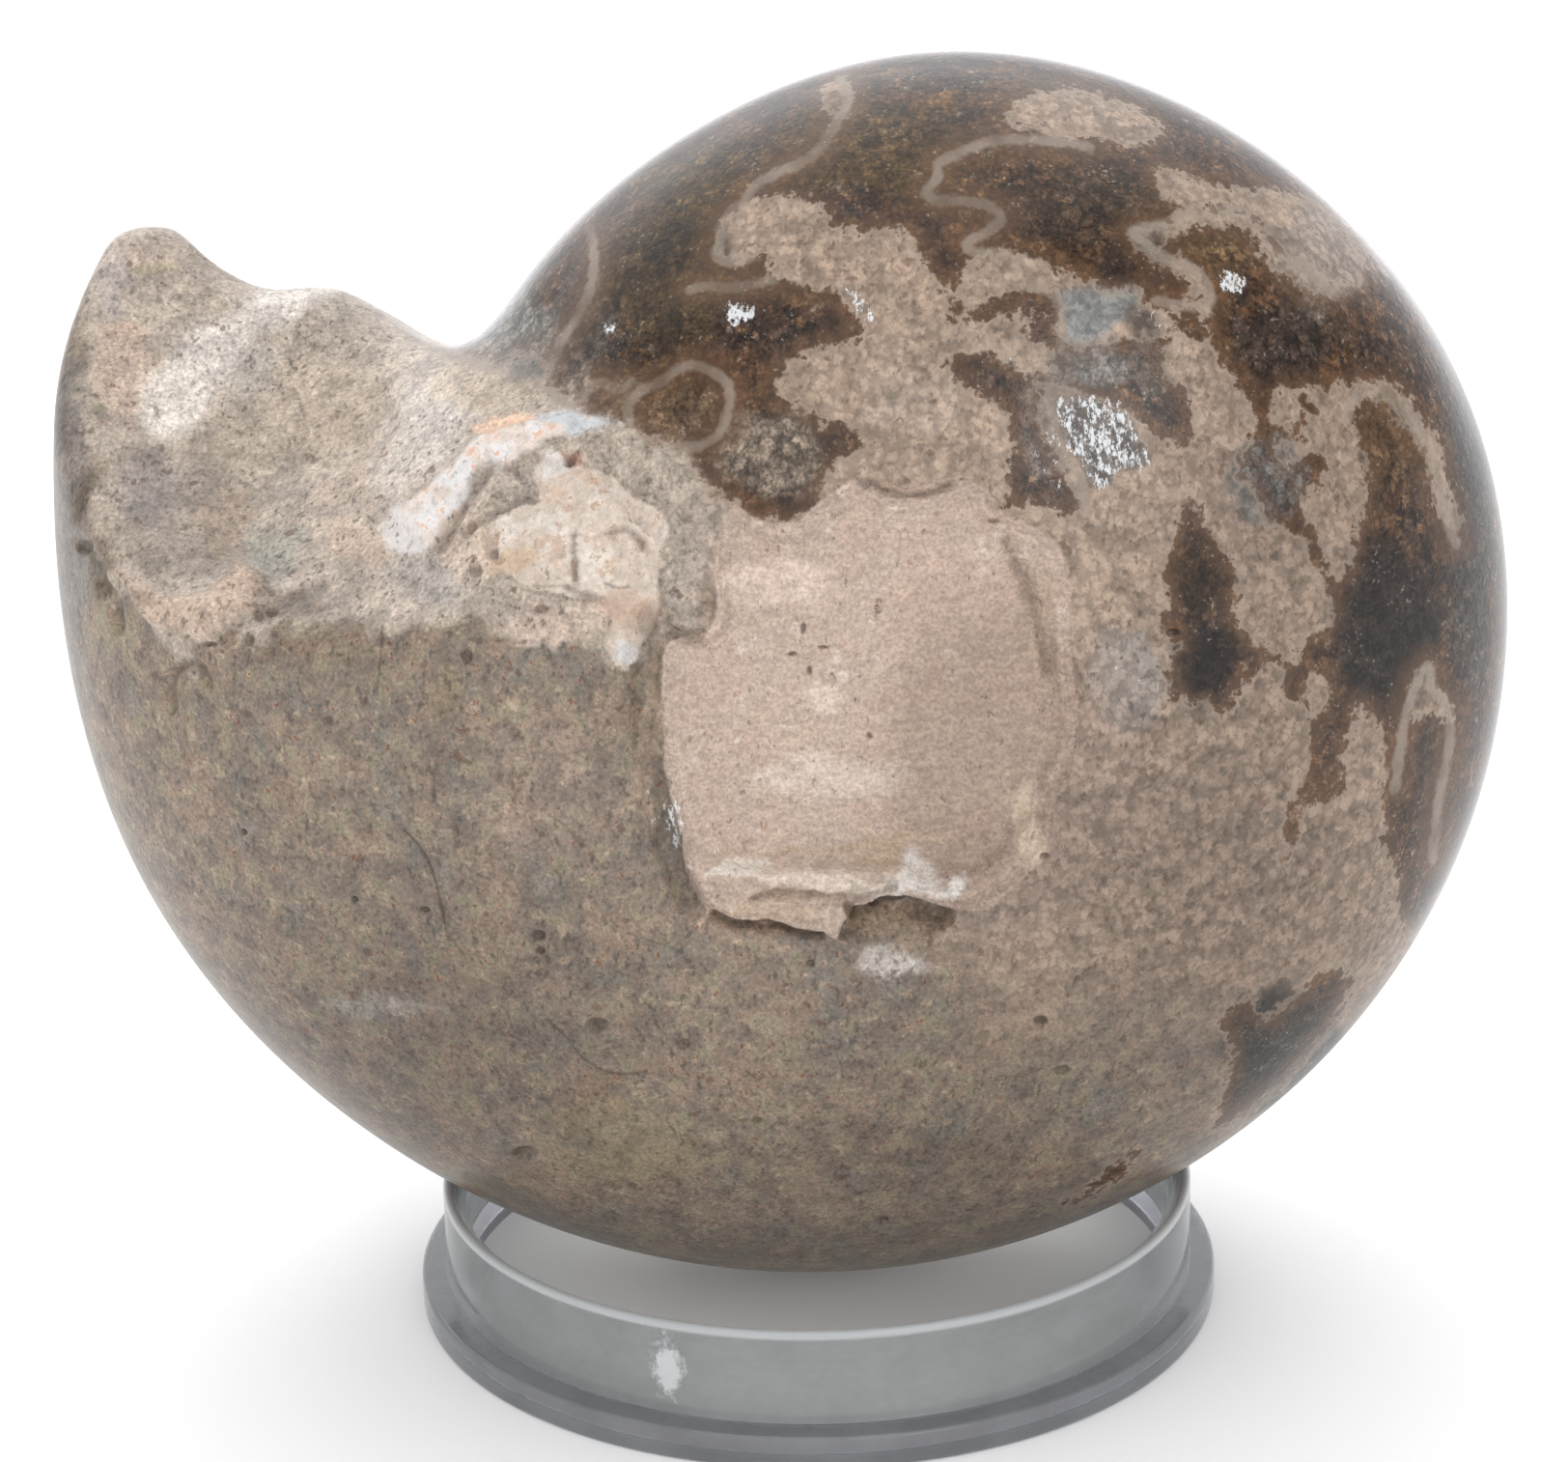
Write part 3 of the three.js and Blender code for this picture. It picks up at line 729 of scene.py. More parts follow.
# Triangles of the mesh: how far from a mark they stay small, the length of their edges there, and how much
# longer they are with each millimetre beyond. Where there are two lengths, they are for front and back.
FACE_ELLIPSE = (270, 460, 200, 220)
PLAIN_EDGES = (0.74, 1.15)
PLAIN_FRONT_END = 4
PLUG_WALL_MIDDLE = 0.6
MARK_FRONT_END = -2
FACE_EDGES = (1, 0.44, 0.6)
PLUG_EDGES = (1, (0.33, 0.55), 0.3)
SUTURE_EDGES = (0.4, (0.40, 0.65), 0.5)
PATCH_EDGES = (0.3, 0.5)
GROOVE_EDGES = (0.4, 0.26, 0.6)
THREAD_EDGES = (0.1, 0.14, 0.8)
LONGEST_EDGE = 9.0


def edge_near(away, start, length, growth):
    """The wanted length of an edge at this distance from a mark."""
    return length + growth * np.maximum(away - start, 0)


def wanted_edge(points):
    """Length of a triangle's edge: short at fine marks, longer on plain stone."""
    places, pixels, scale = mark_places(points)
    front = points[:, 1] < MARK_FRONT_END
    wanted = np.where(points[:, 1] < PLAIN_FRONT_END, *PLAIN_EDGES)
    wanted = np.minimum(wanted, edge_near(ellipse_part(pixels, *FACE_ELLIPSE), *FACE_EDGES))
    wall = np.abs(plug_distance(points, pixels, scale) + PLUG_WALL_MIDDLE)
    suture = nearest_line(SUTURES, places, scale)
    for away, (start, lengths, growth) in ((wall, PLUG_EDGES), (suture, SUTURE_EDGES)):
        wanted = np.minimum(wanted, edge_near(away, start, np.where(front, *lengths), growth))
    finest = np.full(len(points), LONGEST_EDGE)
    for name, (length, *_) in PATCHES.items():
        start, growth = PATCH_EDGES
        finest = np.minimum(finest, edge_near(patch_distance(name, pixels, scale), start, length, growth))
    grooves = nearest_line([line for _, _, line in GROOVES], pixels, scale)
    finest = np.minimum(finest, edge_near(grooves, *GROOVE_EDGES))
    threads = nearest_line([line for _, line in THREADS], pixels, scale, THREAD_REACH)
    for u, v, width, tall in PITS:
        pit = np.linalg.norm(pixels - (u, v), axis=1) - max(width, tall)
        threads = np.minimum(threads, np.maximum(pit, 0) / scale)
    finest = np.minimum(finest, edge_near(threads, *THREAD_EDGES))
    return np.where(front, np.minimum(wanted, finest), wanted)


ball = bmesh.new()
bmesh.ops.create_icosphere(ball, subdivisions=BALL_LEVELS, radius=1)
fossil_points = np.array([vertex.co for vertex in ball.verts])
fossil_faces = np.array([[vertex.index for vertex in face.verts] for face in ball.faces])
ball.free()
fossil_points = surface_points(RAY_CENTRE + fossil_points * BALL_STRETCH)
fossil_points = evened(fossil_points, fossil_faces, EVEN_ROUNDS)
for _ in range(SPLIT_ROUNDS):
    fossil_points, fossil_faces = split_long_edges(fossil_points, fossil_faces, wanted_edge)

# Relief of the fossil, in millimetres: the plug lies in a hollow whose wall has worn layers of shell, a
# broken lip stands over a small cavity at its lower edge, and the fill beside it is rough. Each layer of the
# wall has its depth, and where it starts and ends across the plug's outline.
FLANK_START = (4, 7)
WAVE_FALL = 0.8
WAVE_STEP = 2.1
WAVE_LAYERS = 4
RIPPLE_SIZE = 2.2
GRAIN_SIZE = 0.7
PLUG_LAYERS = [(0.45, 0.10, -0.20), (0.40, -0.60, -0.95), (0.45, -1.35, -2.2)]
PLUG_SHALLOW_FROM = (820, 700)
PLUG_SHALLOW_PART = 0.65
PLUG_EDGE_GRAIN = 0.22
PLUG_LAYER_RIPPLE = 0.3
PLUG_FLOOR_RIPPLE = 0.10
PLUG_FLOOR_START = (-0.5, -2)
PATCH_EDGE_GRAIN = 0.12
LIP_HEIGHT = 0.40
LIP_FALL = 0.45
LIP_WIDTH = 1.8
CAVITY_DEPTH = 1.5
CAVITY_LEAST = 0.2
CAVITY_DEEPENS = (978, 940)
GROOVE_GRAIN = 0.1
GROOVE_FLOOR = 0.15
PIT_DEPTH = 0.25
PIT_WALL = (1.1, 0.5)
ROUGH_RIPPLE = 1.6
ROUGH_GRAIN = 0.9


def wavy(points, size):
    """Random waves of about this size in millimetres, from about -0.5 to 0.5."""
    return np.array([
        noise.fractal(place, WAVE_FALL, WAVE_STEP, WAVE_LAYERS) for place in map(Vector, points / size)
    ])


def relief(points):
    """Height of the small relief above the even surface."""
    _, pixels, scale = mark_places(points)
    plug = plug_distance(points, pixels, scale)
    ripple, grain = wavy(points, RIPPLE_SIZE), wavy(points, GRAIN_SIZE)
    front = smooth_step(*FLANK_START, -points[:, 1])
    back = smooth_step(*FLANK_START, points[:, 1])
    shallow = 1 - PLUG_SHALLOW_PART * front * smooth_step(*PLUG_SHALLOW_FROM, pixels[:, 0])
    edge = plug + PLUG_EDGE_GRAIN * grain + PLUG_LAYER_RIPPLE * ripple
    height = np.zeros(len(points))
    for depth, start, end in PLUG_LAYERS:
        height -= (front + back) * shallow * depth * smooth_step(start, end, edge)
    height += (front + back) * PLUG_FLOOR_RIPPLE * ripple * smooth_step(*PLUG_FLOOR_START, plug)
    rough = np.zeros(len(points))
    for name, (_, step, start, end, roughness, _) in PATCHES.items():
        away = patch_distance(name, pixels, scale) + PATCH_EDGE_GRAIN * grain
        part = front * smooth_step(start, end, away)
        if name == "lip":
            height += part * (LIP_HEIGHT - LIP_FALL * np.clip(-plug / LIP_WIDTH, 0, 1) - height)
        elif name == "cavity":
            deep = smooth_step(*CAVITY_DEEPENS, pixels[:, 1])
            height -= part * CAVITY_DEPTH * (CAVITY_LEAST + (1 - CAVITY_LEAST) * deep)
        else:
            height += part * step
        rough = np.maximum(rough, part * roughness)
    for depth, half_width, line in GROOVES:
        away = nearest_line([line], pixels, scale) + GROOVE_GRAIN * grain
        height -= front * depth * smooth_step(half_width, GROOVE_FLOOR * half_width, away)
    for pit in PITS:
        height -= front * PIT_DEPTH * smooth_step(*PIT_WALL, ellipse_part(pixels, *pit))
    return height + rough * (ROUGH_RIPPLE * ripple + ROUGH_GRAIN * grain)


def outward(points, faces):
    """Unit normals at the points."""
    corners = points[faces]
    across = np.cross(corners[:, 1] - corners[:, 0], corners[:, 2] - corners[:, 0])
    normals = np.zeros_like(points)
    for side in range(3):
        np.add.at(normals, faces[:, side], across)
    return normals / np.linalg.norm(normals, axis=1)[:, None]


mark_pixels, fossil_pixels, pixel_scale = mark_places(fossil_points)
front_side = fossil_points[:, 1] < 0
even_points = fossil_points
fossil_points = even_points + outward(even_points, fossil_faces) * relief(even_points)[:, None]

# Where each finish lies, in millimetres from its edge: dark stone, walls, plug, and the patches
FAR_AWAY = 9.0
THREAD_HALF_WIDTH = 0.045
THREAD_FADE = (2.4, 0.4)
GROOVE_PAINTED_SHADE = 0.45
GROOVE_SHADE_FADE = (0.7, 0.1)
PIT_DARKNESS = 0.6
PIT_FADE = (1.3, 0.3)
dark = np.min([outline_distance(mark_pixels, outline) for outline in DARK_STONE], axis=0)
for outline in PALE_ISLANDS:
    dark = np.maximum(dark, -outline_distance(mark_pixels, outline))
for outline in DARK_CHAMBERS_IN_PALE:
    dark = np.minimum(dark, outline_distance(mark_pixels, outline))
fields = {
    "dark": dark / pixel_scale,
    "suture": nearest_line(SUTURES, mark_pixels, pixel_scale, STAIN_REACH),
    "plug": plug_distance(even_points, fossil_pixels, pixel_scale),
}
for name in ("chalk", "ridge", "lip"):
    fields[name] = np.where(front_side, patch_distance(name, fossil_pixels, pixel_scale), FAR_AWAY)
fade_start, fade_end = np.array(THREAD_FADE) * THREAD_HALF_WIDTH
threads_groove_shade_and_pits = np.zeros(len(fossil_points))
for strength, line in THREADS:
    away = nearest_line([line], fossil_pixels, pixel_scale, THREAD_REACH)
    threads_groove_shade_and_pits = np.maximum(threads_groove_shade_and_pits, strength * smooth_step(fade_start, fade_end, away))
# Painted shade: the grooves and crevices are darkened in colour
for _, half_width, line in GROOVES:
    away = nearest_line([line], fossil_pixels, pixel_scale) / half_width
    threads_groove_shade_and_pits = np.maximum(threads_groove_shade_and_pits, GROOVE_PAINTED_SHADE * smooth_step(*GROOVE_SHADE_FADE, away))
for pit in PITS:
    threads_groove_shade_and_pits = np.maximum(threads_groove_shade_and_pits, PIT_DARKNESS * smooth_step(*PIT_FADE, ellipse_part(fossil_pixels, *pit)))
fields["threads_groove_shade_and_pits"] = threads_groove_shade_and_pits * front_side

# The broken face and the fill beside it are paler than the body: name, colour, strength and outline
FACE_GROUND = ("face ground", "#b3a597", 0.80, [
    (96, 190), (180, 190), (230, 225), (280, 245), (340, 255), (410, 285), (480, 335), (530, 366),
    (590, 396), (640, 432), (700, 462), (745, 508), (748, 560), (740, 610), (728, 652), (690, 650),
    (664, 690), (636, 690), (600, 662), (540, 660), (470, 650), (410, 652), (350, 640), (290, 640),
    (240, 668), (196, 672), (150, 640), (118, 604), (104, 560), (98, 500), (90, 440), (86, 360), (86, 280),
])

# Stains: name, middle, half width and half height in pixels, colour and strength. Their edges wander.
STAINS = [
    # Painted shade: the grey along the left edge, where the stone turns away from the light
    ("grey venter shade", 72, 560, 26, 210, "#79716b", 0.7),
    ("tip", 150, 252, 50, 24, "#b9a799", 0.6),
    ("tip olive", 160, 274, 30, 13, "#a59678", 0.5),
    ("tip purple", 193, 286, 24, 12, "#a3938a", 0.5),
    ("tip lilac", 118, 288, 14, 40, "#a9a0a0", 0.4),
    ("tip orange", 134, 346, 24, 12, "#c2a68f", 0.5),
    ("face orange", 128, 390, 30, 56, "#c2a896", 0.55),
    ("face speckled line", 262, 384, 22, 26, "#aca49b", 0.5),
    ("face upper right", 410, 390, 40, 44, "#c0b1a2", 0.5),
    ("oval upper", 340, 420, 66, 50, "#ae9d8b", 0.75),
    ("oval middle", 252, 470, 60, 40, "#a19383", 0.75),
    ("oval low", 186, 535, 76, 66, "#8d8176", 0.85),
    ("oval brown", 236, 540, 38, 40, "#9b8875", 0.7),
    ("oval grey", 150, 500, 30, 36, "#8a817b", 0.6),
    ("specked pale", 352, 500, 44, 28, "#bba897", 0.6),
    ("specked orange", 368, 562, 32, 26, "#c3aa97", 0.6),
    ("specked brown", 312, 530, 22, 26, "#a39487", 0.6),
    ("grey specks", 284, 574, 30, 34, "#918e82", 0.75),
    ("beside the ridge", 440, 440, 46, 60, "#cbc1b7", 0.7),
    ("beside the ridge low", 404, 500, 20, 26, "#cdc1b6", 0.6),
    ("green spot", 86, 515, 12, 24, "#5f5345", 0.9),
    ("green spot lower", 88, 568, 10, 12, "#6a5c46", 0.8),
    ("green line", 108, 606, 11, 34, "#6f634f", 0.85),
    # Painted shadow: the dark patch under the ledge
    ("dark under ledge", 300, 622, 48, 14, "#7d6e61", 0.8),
    ("left groove", 672, 770, 15, 110, "#a8937f", 0.85),
    ("bluish fill", 440, 600, 46, 26, "#9c9791", 0.6),
    ("pale fill", 410, 625, 24, 20, "#c9b8a9", 0.5),
    ("fill brown", 500, 396, 56, 24, "#b7a38d", 0.6),
    ("fill left of chalk", 486, 566, 30, 36, "#bca897", 0.6),
    ("fill below chalk", 600, 645, 70, 22, "#b3a08f", 0.6),
    ("fill pink", 556, 650, 30, 18, "#bba697", 0.6),
    ("body brown spot", 460, 716, 20, 34, "#80715a", 0.7),
    ("body pink", 560, 820, 90, 90, "#978376", 0.5),
    ("body streak", 395, 1045, 70, 16, "#a69e95", 0.6),
    ("body grey", 590, 1050, 60, 40, "#786e62", 0.5),
    ("body rust", 610, 1140, 60, 30, "#8c6f58", 0.4),
    ("belly", 800, 1220, 330, 70, "#857769", 0.4),
    ("belly olive", 640, 1180, 90, 50, "#82775d", 0.5),
    ("cavity floor", 930, 965, 60, 20, "#93806c", 0.8),
    ("frost", 930, 998, 46, 16, "#c4bab0", 0.8),
    ("upper orange", 962, 107, 30, 11, "#80592f", 0.8),
    ("upper brown", 900, 150, 120, 60, "#4f3d24", 0.8),
    ("dark brown", 1130, 212, 90, 46, "#453629", 0.7),
    ("dark brown low", 1180, 270, 50, 30, "#392c25", 0.8),
    ("brown upper left", 690, 290, 80, 80, "#443520", 0.85),
    ("brown left", 710, 185, 66, 46, "#4f3d22", 0.85),
    ("grey dark left", 600, 330, 34, 60, "#544c45", 0.7),
    ("small lobe left", 632, 412, 22, 22, "#6e5a46", 0.8),
    ("small lobe", 706, 420, 40, 34, "#6b5743", 0.8),
    ("pale crumb", 940, 420, 66, 44, "#b9a696", 0.5),
    ("lobe", 800, 470, 60, 50, "#857769", 0.8),
    ("grey left end", 540, 350, 50, 46, "#716d67", 0.9),
    ("folds beside plug", 1080, 440, 26, 60, "#6a5f56", 0.8),
    ("arrow", 1262, 262, 40, 34, "#665038", 0.75),
    ("dark right", 1330, 355, 70, 44, "#3b312a", 0.85),
    # Painted reflection: the bluish grey on the right flank
    ("grey right reflection", 1312, 500, 44, 52, "#6a6966", 0.8),
    ("right brown", 1440, 460, 36, 60, "#5b4632", 0.8),
    ("right dark", 1435, 650, 64, 100, "#241f1c", 0.9),
    ("spire", 1478, 815, 20, 70, "#443f38", 0.8),
    # Painted reflection: the grey along the right edge
    ("right grey edge reflection", 1520, 560, 26, 180, "#3f3c39", 0.7),
    ("pit brown", 690, 202, 10, 9, "#2c221b", 0.9),
    ("pit brown middle", 704, 236, 11, 9, "#2c221b", 0.85),
    ("pit brown lower", 680, 260, 15, 13, "#2a211b", 0.9),
    ("right low grain", 1275, 860, 120, 120, "#7b6b5f", 0.45),
    ("lower dark", 1328, 1088, 72, 74, "#2f2b26", 0.95),
    ("top right grey", 1380, 260, 70, 60, "#978a80", 0.7),
    ("brown strip top", 1240, 590, 30, 50, "#352719", 0.9),
    ("brown strip", 1250, 690, 36, 50, "#221b17", 0.95),
    ("speckled beside plug", 1166, 700, 38, 60, "#928b83", 0.85),
    # Painted light and shade on the plug: the plug glow and its upper left are lighter, and the plug shade
    # darker at its lower right
    ("plug glow", 930, 600, 120, 80, "#c9b09f", 0.4),
    ("plug shade", 1040, 800, 150, 200, "#9a8678", 0.7),
    ("plug pale spot", 850, 735, 26, 22, "#dcc8b8", 0.7),
    ("plug white streaks", 850, 815, 90, 26, "#d8c8bc", 0.6),
    ("plug upper left light", 800, 600, 60, 30, "#e3cebf", 0.6),
    ("plug right tan", 1082, 640, 16, 80, "#b39d88", 0.5),
    # Painted shade: the tan band inside the plug's lower edge
    ("plug lower tan shade", 870, 886, 130, 9, "#b8a187", 0.55),
    ("plug cream", 1062, 862, 18, 40, "#cdb9a4", 0.7),
    ("lip white", 765, 903, 34, 10, "#e2d6ca", 0.9),
    ("lip middle", 850, 915, 80, 12, "#d8c9ba", 0.85),
    ("lip right white", 940, 908, 30, 12, "#ddd4cb", 0.8),
    ("lip cluster", 982, 912, 17, 8, "#e2dcd5", 0.8),
    ("lip lower", 800, 945, 70, 14, "#bfa792", 0.7),
    # Painted shadow: the dark crevice under the lip's broken plate, and its left end
    ("crevice", 935, 938, 52, 7, "#3f3127", 0.95),
    ("crevice left", 884, 950, 8, 14, "#5a4636", 0.8),
    ("chalk white", 566, 482, 18, 12, "#e6dfd7", 0.9),
    ("chalk white tip", 646, 680, 12, 18, "#d9d5d2", 0.9),
    ("chalk orange", 535, 572, 26, 16, "#cfb294", 0.7),
    ("chalk pink", 650, 628, 26, 22, "#cdb09c", 0.7),
    ("chalk red spot", 589, 473, 11, 7, "#7d4a3a", 0.7),
    ("chalk red spot lower", 598, 482, 7, 6, "#95604f", 0.5),
    ("ridge blob", 420, 550, 24, 24, "#e0d9d5", 0.9),
    ("ridge orange", 530, 441, 44, 9, "#d9b498", 0.85),
    # Painted highlight: the bright bluish line along the top of the ridge
    ("ridge bluish highlight", 594, 441, 36, 10, "#c6cacc", 0.9),
    ("orange corner", 640, 980, 30, 20, "#93785f", 0.4),
]

# Stains with an outline of their own: name, colour, strength and outline
OUTLINED_STAINS = [
    ("pale band", "#dad0c6", 0.75, [
        (352, 302), (300, 330), (262, 352), (240, 392), (216, 412), (205, 440), (175, 452), (150, 440),
        (146, 410), (160, 380), (190, 350), (230, 325), (270, 305), (310, 298),
    ]),
    # Partly painted light: the ledge is tan, and painted paler where its top faces up to the light
    ("ledge", "#b49d8b", 0.8, PATCHES["ledge"][-1]),
    # Painted reflection: the blue-grey of the flat facet
    ("facet reflection", "#868886", 0.9, [
        (1096, 303), (1125, 300), (1148, 297), (1172, 298), (1182, 308), (1172, 322), (1160, 340),
        (1140, 352), (1112, 356), (1098, 340), (1094, 320),
    ]),
    ("fold shade", "#544a42", 0.85, [
        (1168, 320), (1190, 322), (1200, 345), (1212, 380), (1222, 400), (1200, 414), (1175, 402),
        (1166, 374), (1172, 350),
    ]),
    ("fold grey", "#75716c", 0.85, [
        (1085, 360), (1120, 358), (1150, 356), (1165, 380), (1160, 398), (1120, 402), (1085, 395),
    ]),
    ("sparkle ground", "#655f5a", 0.9, [
        (1092, 412), (1130, 410), (1168, 424), (1180, 450), (1192, 478), (1160, 484), (1146, 502),
        (1128, 498), (1116, 476), (1104, 460), (1100, 436),
    ]),
]

# Stains whose name starts like this stay on the front, and the others turn with the marks over the edge
FRONT_STAINS = (
    "plug", "lip", "crevice", "chalk", "ridge", "cavity", "facet reflection", "fold", "sparkle", "face", "ledge",
    "oval", "beside", "pale", "fill", "bluish",
)
FRONT_STAIN_ENDS = (11, 5)
STAIN_FADE = (1.3, 0.6)
STAIN_SOFTNESS = 9
FACE_GROUND_SOFTNESS = 20
BARE_EDGE = 0.3
DRIFTS = [(0.45, 16), (1.3, 7)]
DRIFT_SEED = 1795600271
DRIFT_OF_GROUND = 2.2
DRIFT_OF_OUTLINES = 0.5
DRIFT_OF_ENDS = 0.12
UNSTAINED = "#8f8276"

# Without a seed, the clock would set the vector noise, and the drift would differ with each run
noise.seed_set(DRIFT_SEED)
drift = np.array([
    sum((noise.noise_vector(place * fineness) * reach for fineness, reach in DRIFTS), Vector())
    for place in map(Vector, even_points)
])
stained_pixels = mark_pixels + drift[:, :2]
front_pixels = fossil_pixels + drift[:, :2]
front_reach = smooth_step(*FRONT_STAIN_ENDS, even_points[:, 1] + DRIFT_OF_ENDS * drift[:, 0])
name, colour, strength, outline = FACE_GROUND
away = outline_distance(fossil_pixels + DRIFT_OF_GROUND * drift[:, :2], outline, STAIN_REACH)
bare = smooth_step(-BARE_EDGE, BARE_EDGE, np.minimum(fields["chalk"], fields["ridge"]))
cover = strength * smooth_step(FACE_GROUND_SOFTNESS, -FACE_GROUND_SOFTNESS, away) * bare * front_reach
stain_covers = [(name, colour, cover)]
for name, *ellipse, colour, strength in STAINS:
    pixels = front_pixels if name.startswith(FRONT_STAINS) else stained_pixels
    cover = strength * smooth_step(*STAIN_FADE, ellipse_part(pixels, *ellipse))
    stain_covers.append((name, colour, cover))
for name, colour, strength, outline in OUTLINED_STAINS:
    away = outline_distance(fossil_pixels + DRIFT_OF_OUTLINES * drift[:, :2], outline, STAIN_REACH)
    stain_covers.append((name, colour, strength * smooth_step(STAIN_SOFTNESS, -STAIN_SOFTNESS, away)))
tint = np.tile(linear(UNSTAINED)[:3] + [0.0], (len(fossil_points), 1))
for name, colour, cover in stain_covers:
    if name.startswith(FRONT_STAINS):
        cover = cover * front_reach
    whole = cover + tint[:, 3] * (1 - cover)
    share = np.where(whole > 0, cover / np.maximum(whole, 1e-6), 0)[:, None]
    tint[:, :3] = tint[:, :3] * (1 - share) + np.array(linear(colour))[:3] * share
    tint[:, 3] = whole

# Frost of broken white crystals and painted highlights, where light glints off the polished crystals, and
# dark specks: strength and outline
FROST_AND_HIGHLIGHTS = [
    (0.8, [(1094, 414), (1130, 408), (1168, 422), (1184, 450), (1196, 480), (1160, 486), (1146, 504),
           (1128, 498), (1114, 478), (1104, 460), (1100, 436)]),
    (1.1, [(750, 322), (762, 312), (778, 316), (790, 326), (780, 338), (758, 342)]),
    (0.85, [(866, 298), (884, 294), (900, 310), (910, 330), (894, 334), (878, 318)]),
    (1.0, [(1262, 284), (1276, 276), (1292, 286), (1284, 300), (1266, 300)]),
    (1.2, [(624, 334), (636, 334), (636, 344), (624, 344)]),
    (0.45, [(1086, 404), (1104, 440), (1112, 500), (1090, 520), (1070, 480), (1066, 440)]),
    (0.45, [(1150, 300), (1190, 312), (1222, 360), (1232, 372), (1200, 360), (1180, 330)]),
    (0.40, [(1040, 372), (1090, 380), (1130, 384), (1130, 396), (1080, 396)]),
    (0.42, [(884, 996), (930, 986), (966, 980), (976, 992), (930, 1012), (896, 1010)]),
    (0.6, [(634, 674), (656, 676), (654, 700), (638, 700)]),
    (0.34, [(1130, 640), (1170, 630), (1196, 660), (1204, 720), (1180, 760), (1140, 740), (1128, 690)]),
    (0.8, [(690, 832), (712, 838), (706, 884), (692, 880)]),
    (0.5, [(664, 810), (684, 818), (680, 862), (664, 856)]),
    (0.5, [(730, 846), (752, 852), (748, 896), (732, 890)]),
]
SPECKS = [
    (1.0, [(270, 345), (330, 335), (360, 320), (400, 340), (440, 360), (400, 400), (330, 380), (290, 400),
           (250, 440), (216, 440), (216, 410), (250, 380)]),
    (1.0, [(290, 500), (330, 500), (400, 500), (420, 560), (400, 640), (340, 600), (280, 610), (270, 560)]),
    (0.8, [(410, 430), (470, 420), (500, 450), (460, 500), (410, 520)]),
    (1.0, [(200, 650), (270, 630), (280, 660), (220, 690), (180, 690)]),
    (0.8, [(480, 520), (520, 560), (600, 620), (560, 660), (480, 620), (450, 570)]),
    (0.9, [(1128, 640), (1190, 620), (1210, 720), (1180, 780), (1130, 740)]),
    (0.7, [(480, 950), (620, 960), (740, 1060), (720, 1140), (600, 1100), (500, 1040)]),
]
SPOT_FADE = (8, -6)
# The frost field holds white frost and painted highlights
for name, spots in (("frost", FROST_AND_HIGHLIGHTS), ("specks", SPECKS)):
    cover = np.zeros(len(fossil_points))
    for strength, outline in spots:
        away = outline_distance(mark_pixels + DRIFT_OF_OUTLINES * drift[:, :2], outline, STAIN_REACH)
        cover = np.maximum(cover, strength * smooth_step(*SPOT_FADE, away))
    fields[name] = cover * front_side

# Fine mud gives way to crumbs at the right of the plug, and above it. Each pair of pixels is where the
# crumbs start and where they cover all.
CRUMBS_AT_RIGHT = (960, 1060)
CRUMBS_ABOVE_BELLY = (1150, 950)
CRUMBS_ABOVE_PLUG = (700, 600)
CRUMBS_BESIDE_FACE = (700, 740)
across, down = mark_pixels.T
at_right = smooth_step(*CRUMBS_AT_RIGHT, across) * smooth_step(*CRUMBS_ABOVE_BELLY, down)
above = smooth_step(*CRUMBS_ABOVE_PLUG, down) * smooth_step(*CRUMBS_BESIDE_FACE, across)
fields["grain"] = np.maximum(at_right, above)

# Painted shade, darker low on the body and at its right: middle, half width and half height in pixels, and
# strength
SHADES = [
    (1330, 620, 180, 300, 0.75), (1290, 930, 280, 200, 1.0), (1080, 1130, 340, 170, 0.75),
    (420, 1090, 300, 190, 0.95),
]
SHADE_FADE = (1.3, 0.2)
shade = np.zeros(len(fossil_points))
for *ellipse, strength in SHADES:
    cover = strength * smooth_step(*SHADE_FADE, ellipse_part(stained_pixels, *ellipse))
    shade = 1 - (1 - shade) * (1 - cover)
fields["shade"] = shade

# Ground and polished stone. The chambers are filled with dark calcite in small crystals that glint, the
# walls between them are pale lines, the body chamber is fine mud stone, and the plug is soft and chalky.
stone, tree = new_material("polished_fossil_stone")
SOFT = {"interpolation_type": "SMOOTHSTEP"}
millimetres = node(tree, "VectorMath", {
    0: node(tree, "TexCoord", out="Object"), 3: 1 / MM,
}, operation="SCALE")
upright = node(tree, "VectorMath", {0: millimetres, 1: (1.0, 1.0, 0.62)}, operation="MULTIPLY")
level = node(tree, "VectorMath", {0: millimetres, 1: (0.55, 0.7, 1.3)}, operation="MULTIPLY")

# The noise that the finishes share, by size in millimetres and detail. Flecks finer than 0.2 mm are drawn
# at 0.2 mm, because they wouldn't show.
PATCH_SIZE = 1.3
NOISE_ROUGHNESS = 0.66
NOISES = {
    "grit": (millimetres, 0.20, 1), "flecks": (upright, 0.36, 2), "spots": (millimetres, 0.75, 2),
    "edges": (millimetres, 0.70, 3), "drifts": (millimetres, 2.8, 2), "levels": (level, 0.45, 2),
}
noises = {
    name: node(tree, "TexNoise", {
        "Vector": vector, "Scale": 1 / size, "Detail": detail, "Roughness": NOISE_ROUGHNESS,
    })
    for name, (vector, size, detail) in NOISES.items()
}
swirl = node(tree, "CombineXYZ", {0: noises["spots"], 1: noises["edges"], 2: noises["flecks"]})
wandering = node(tree, "VectorMath", {
    0: swirl, 1: (0.9, 0.9, 0.9), 2: millimetres,
}, operation="MULTIPLY_ADD")
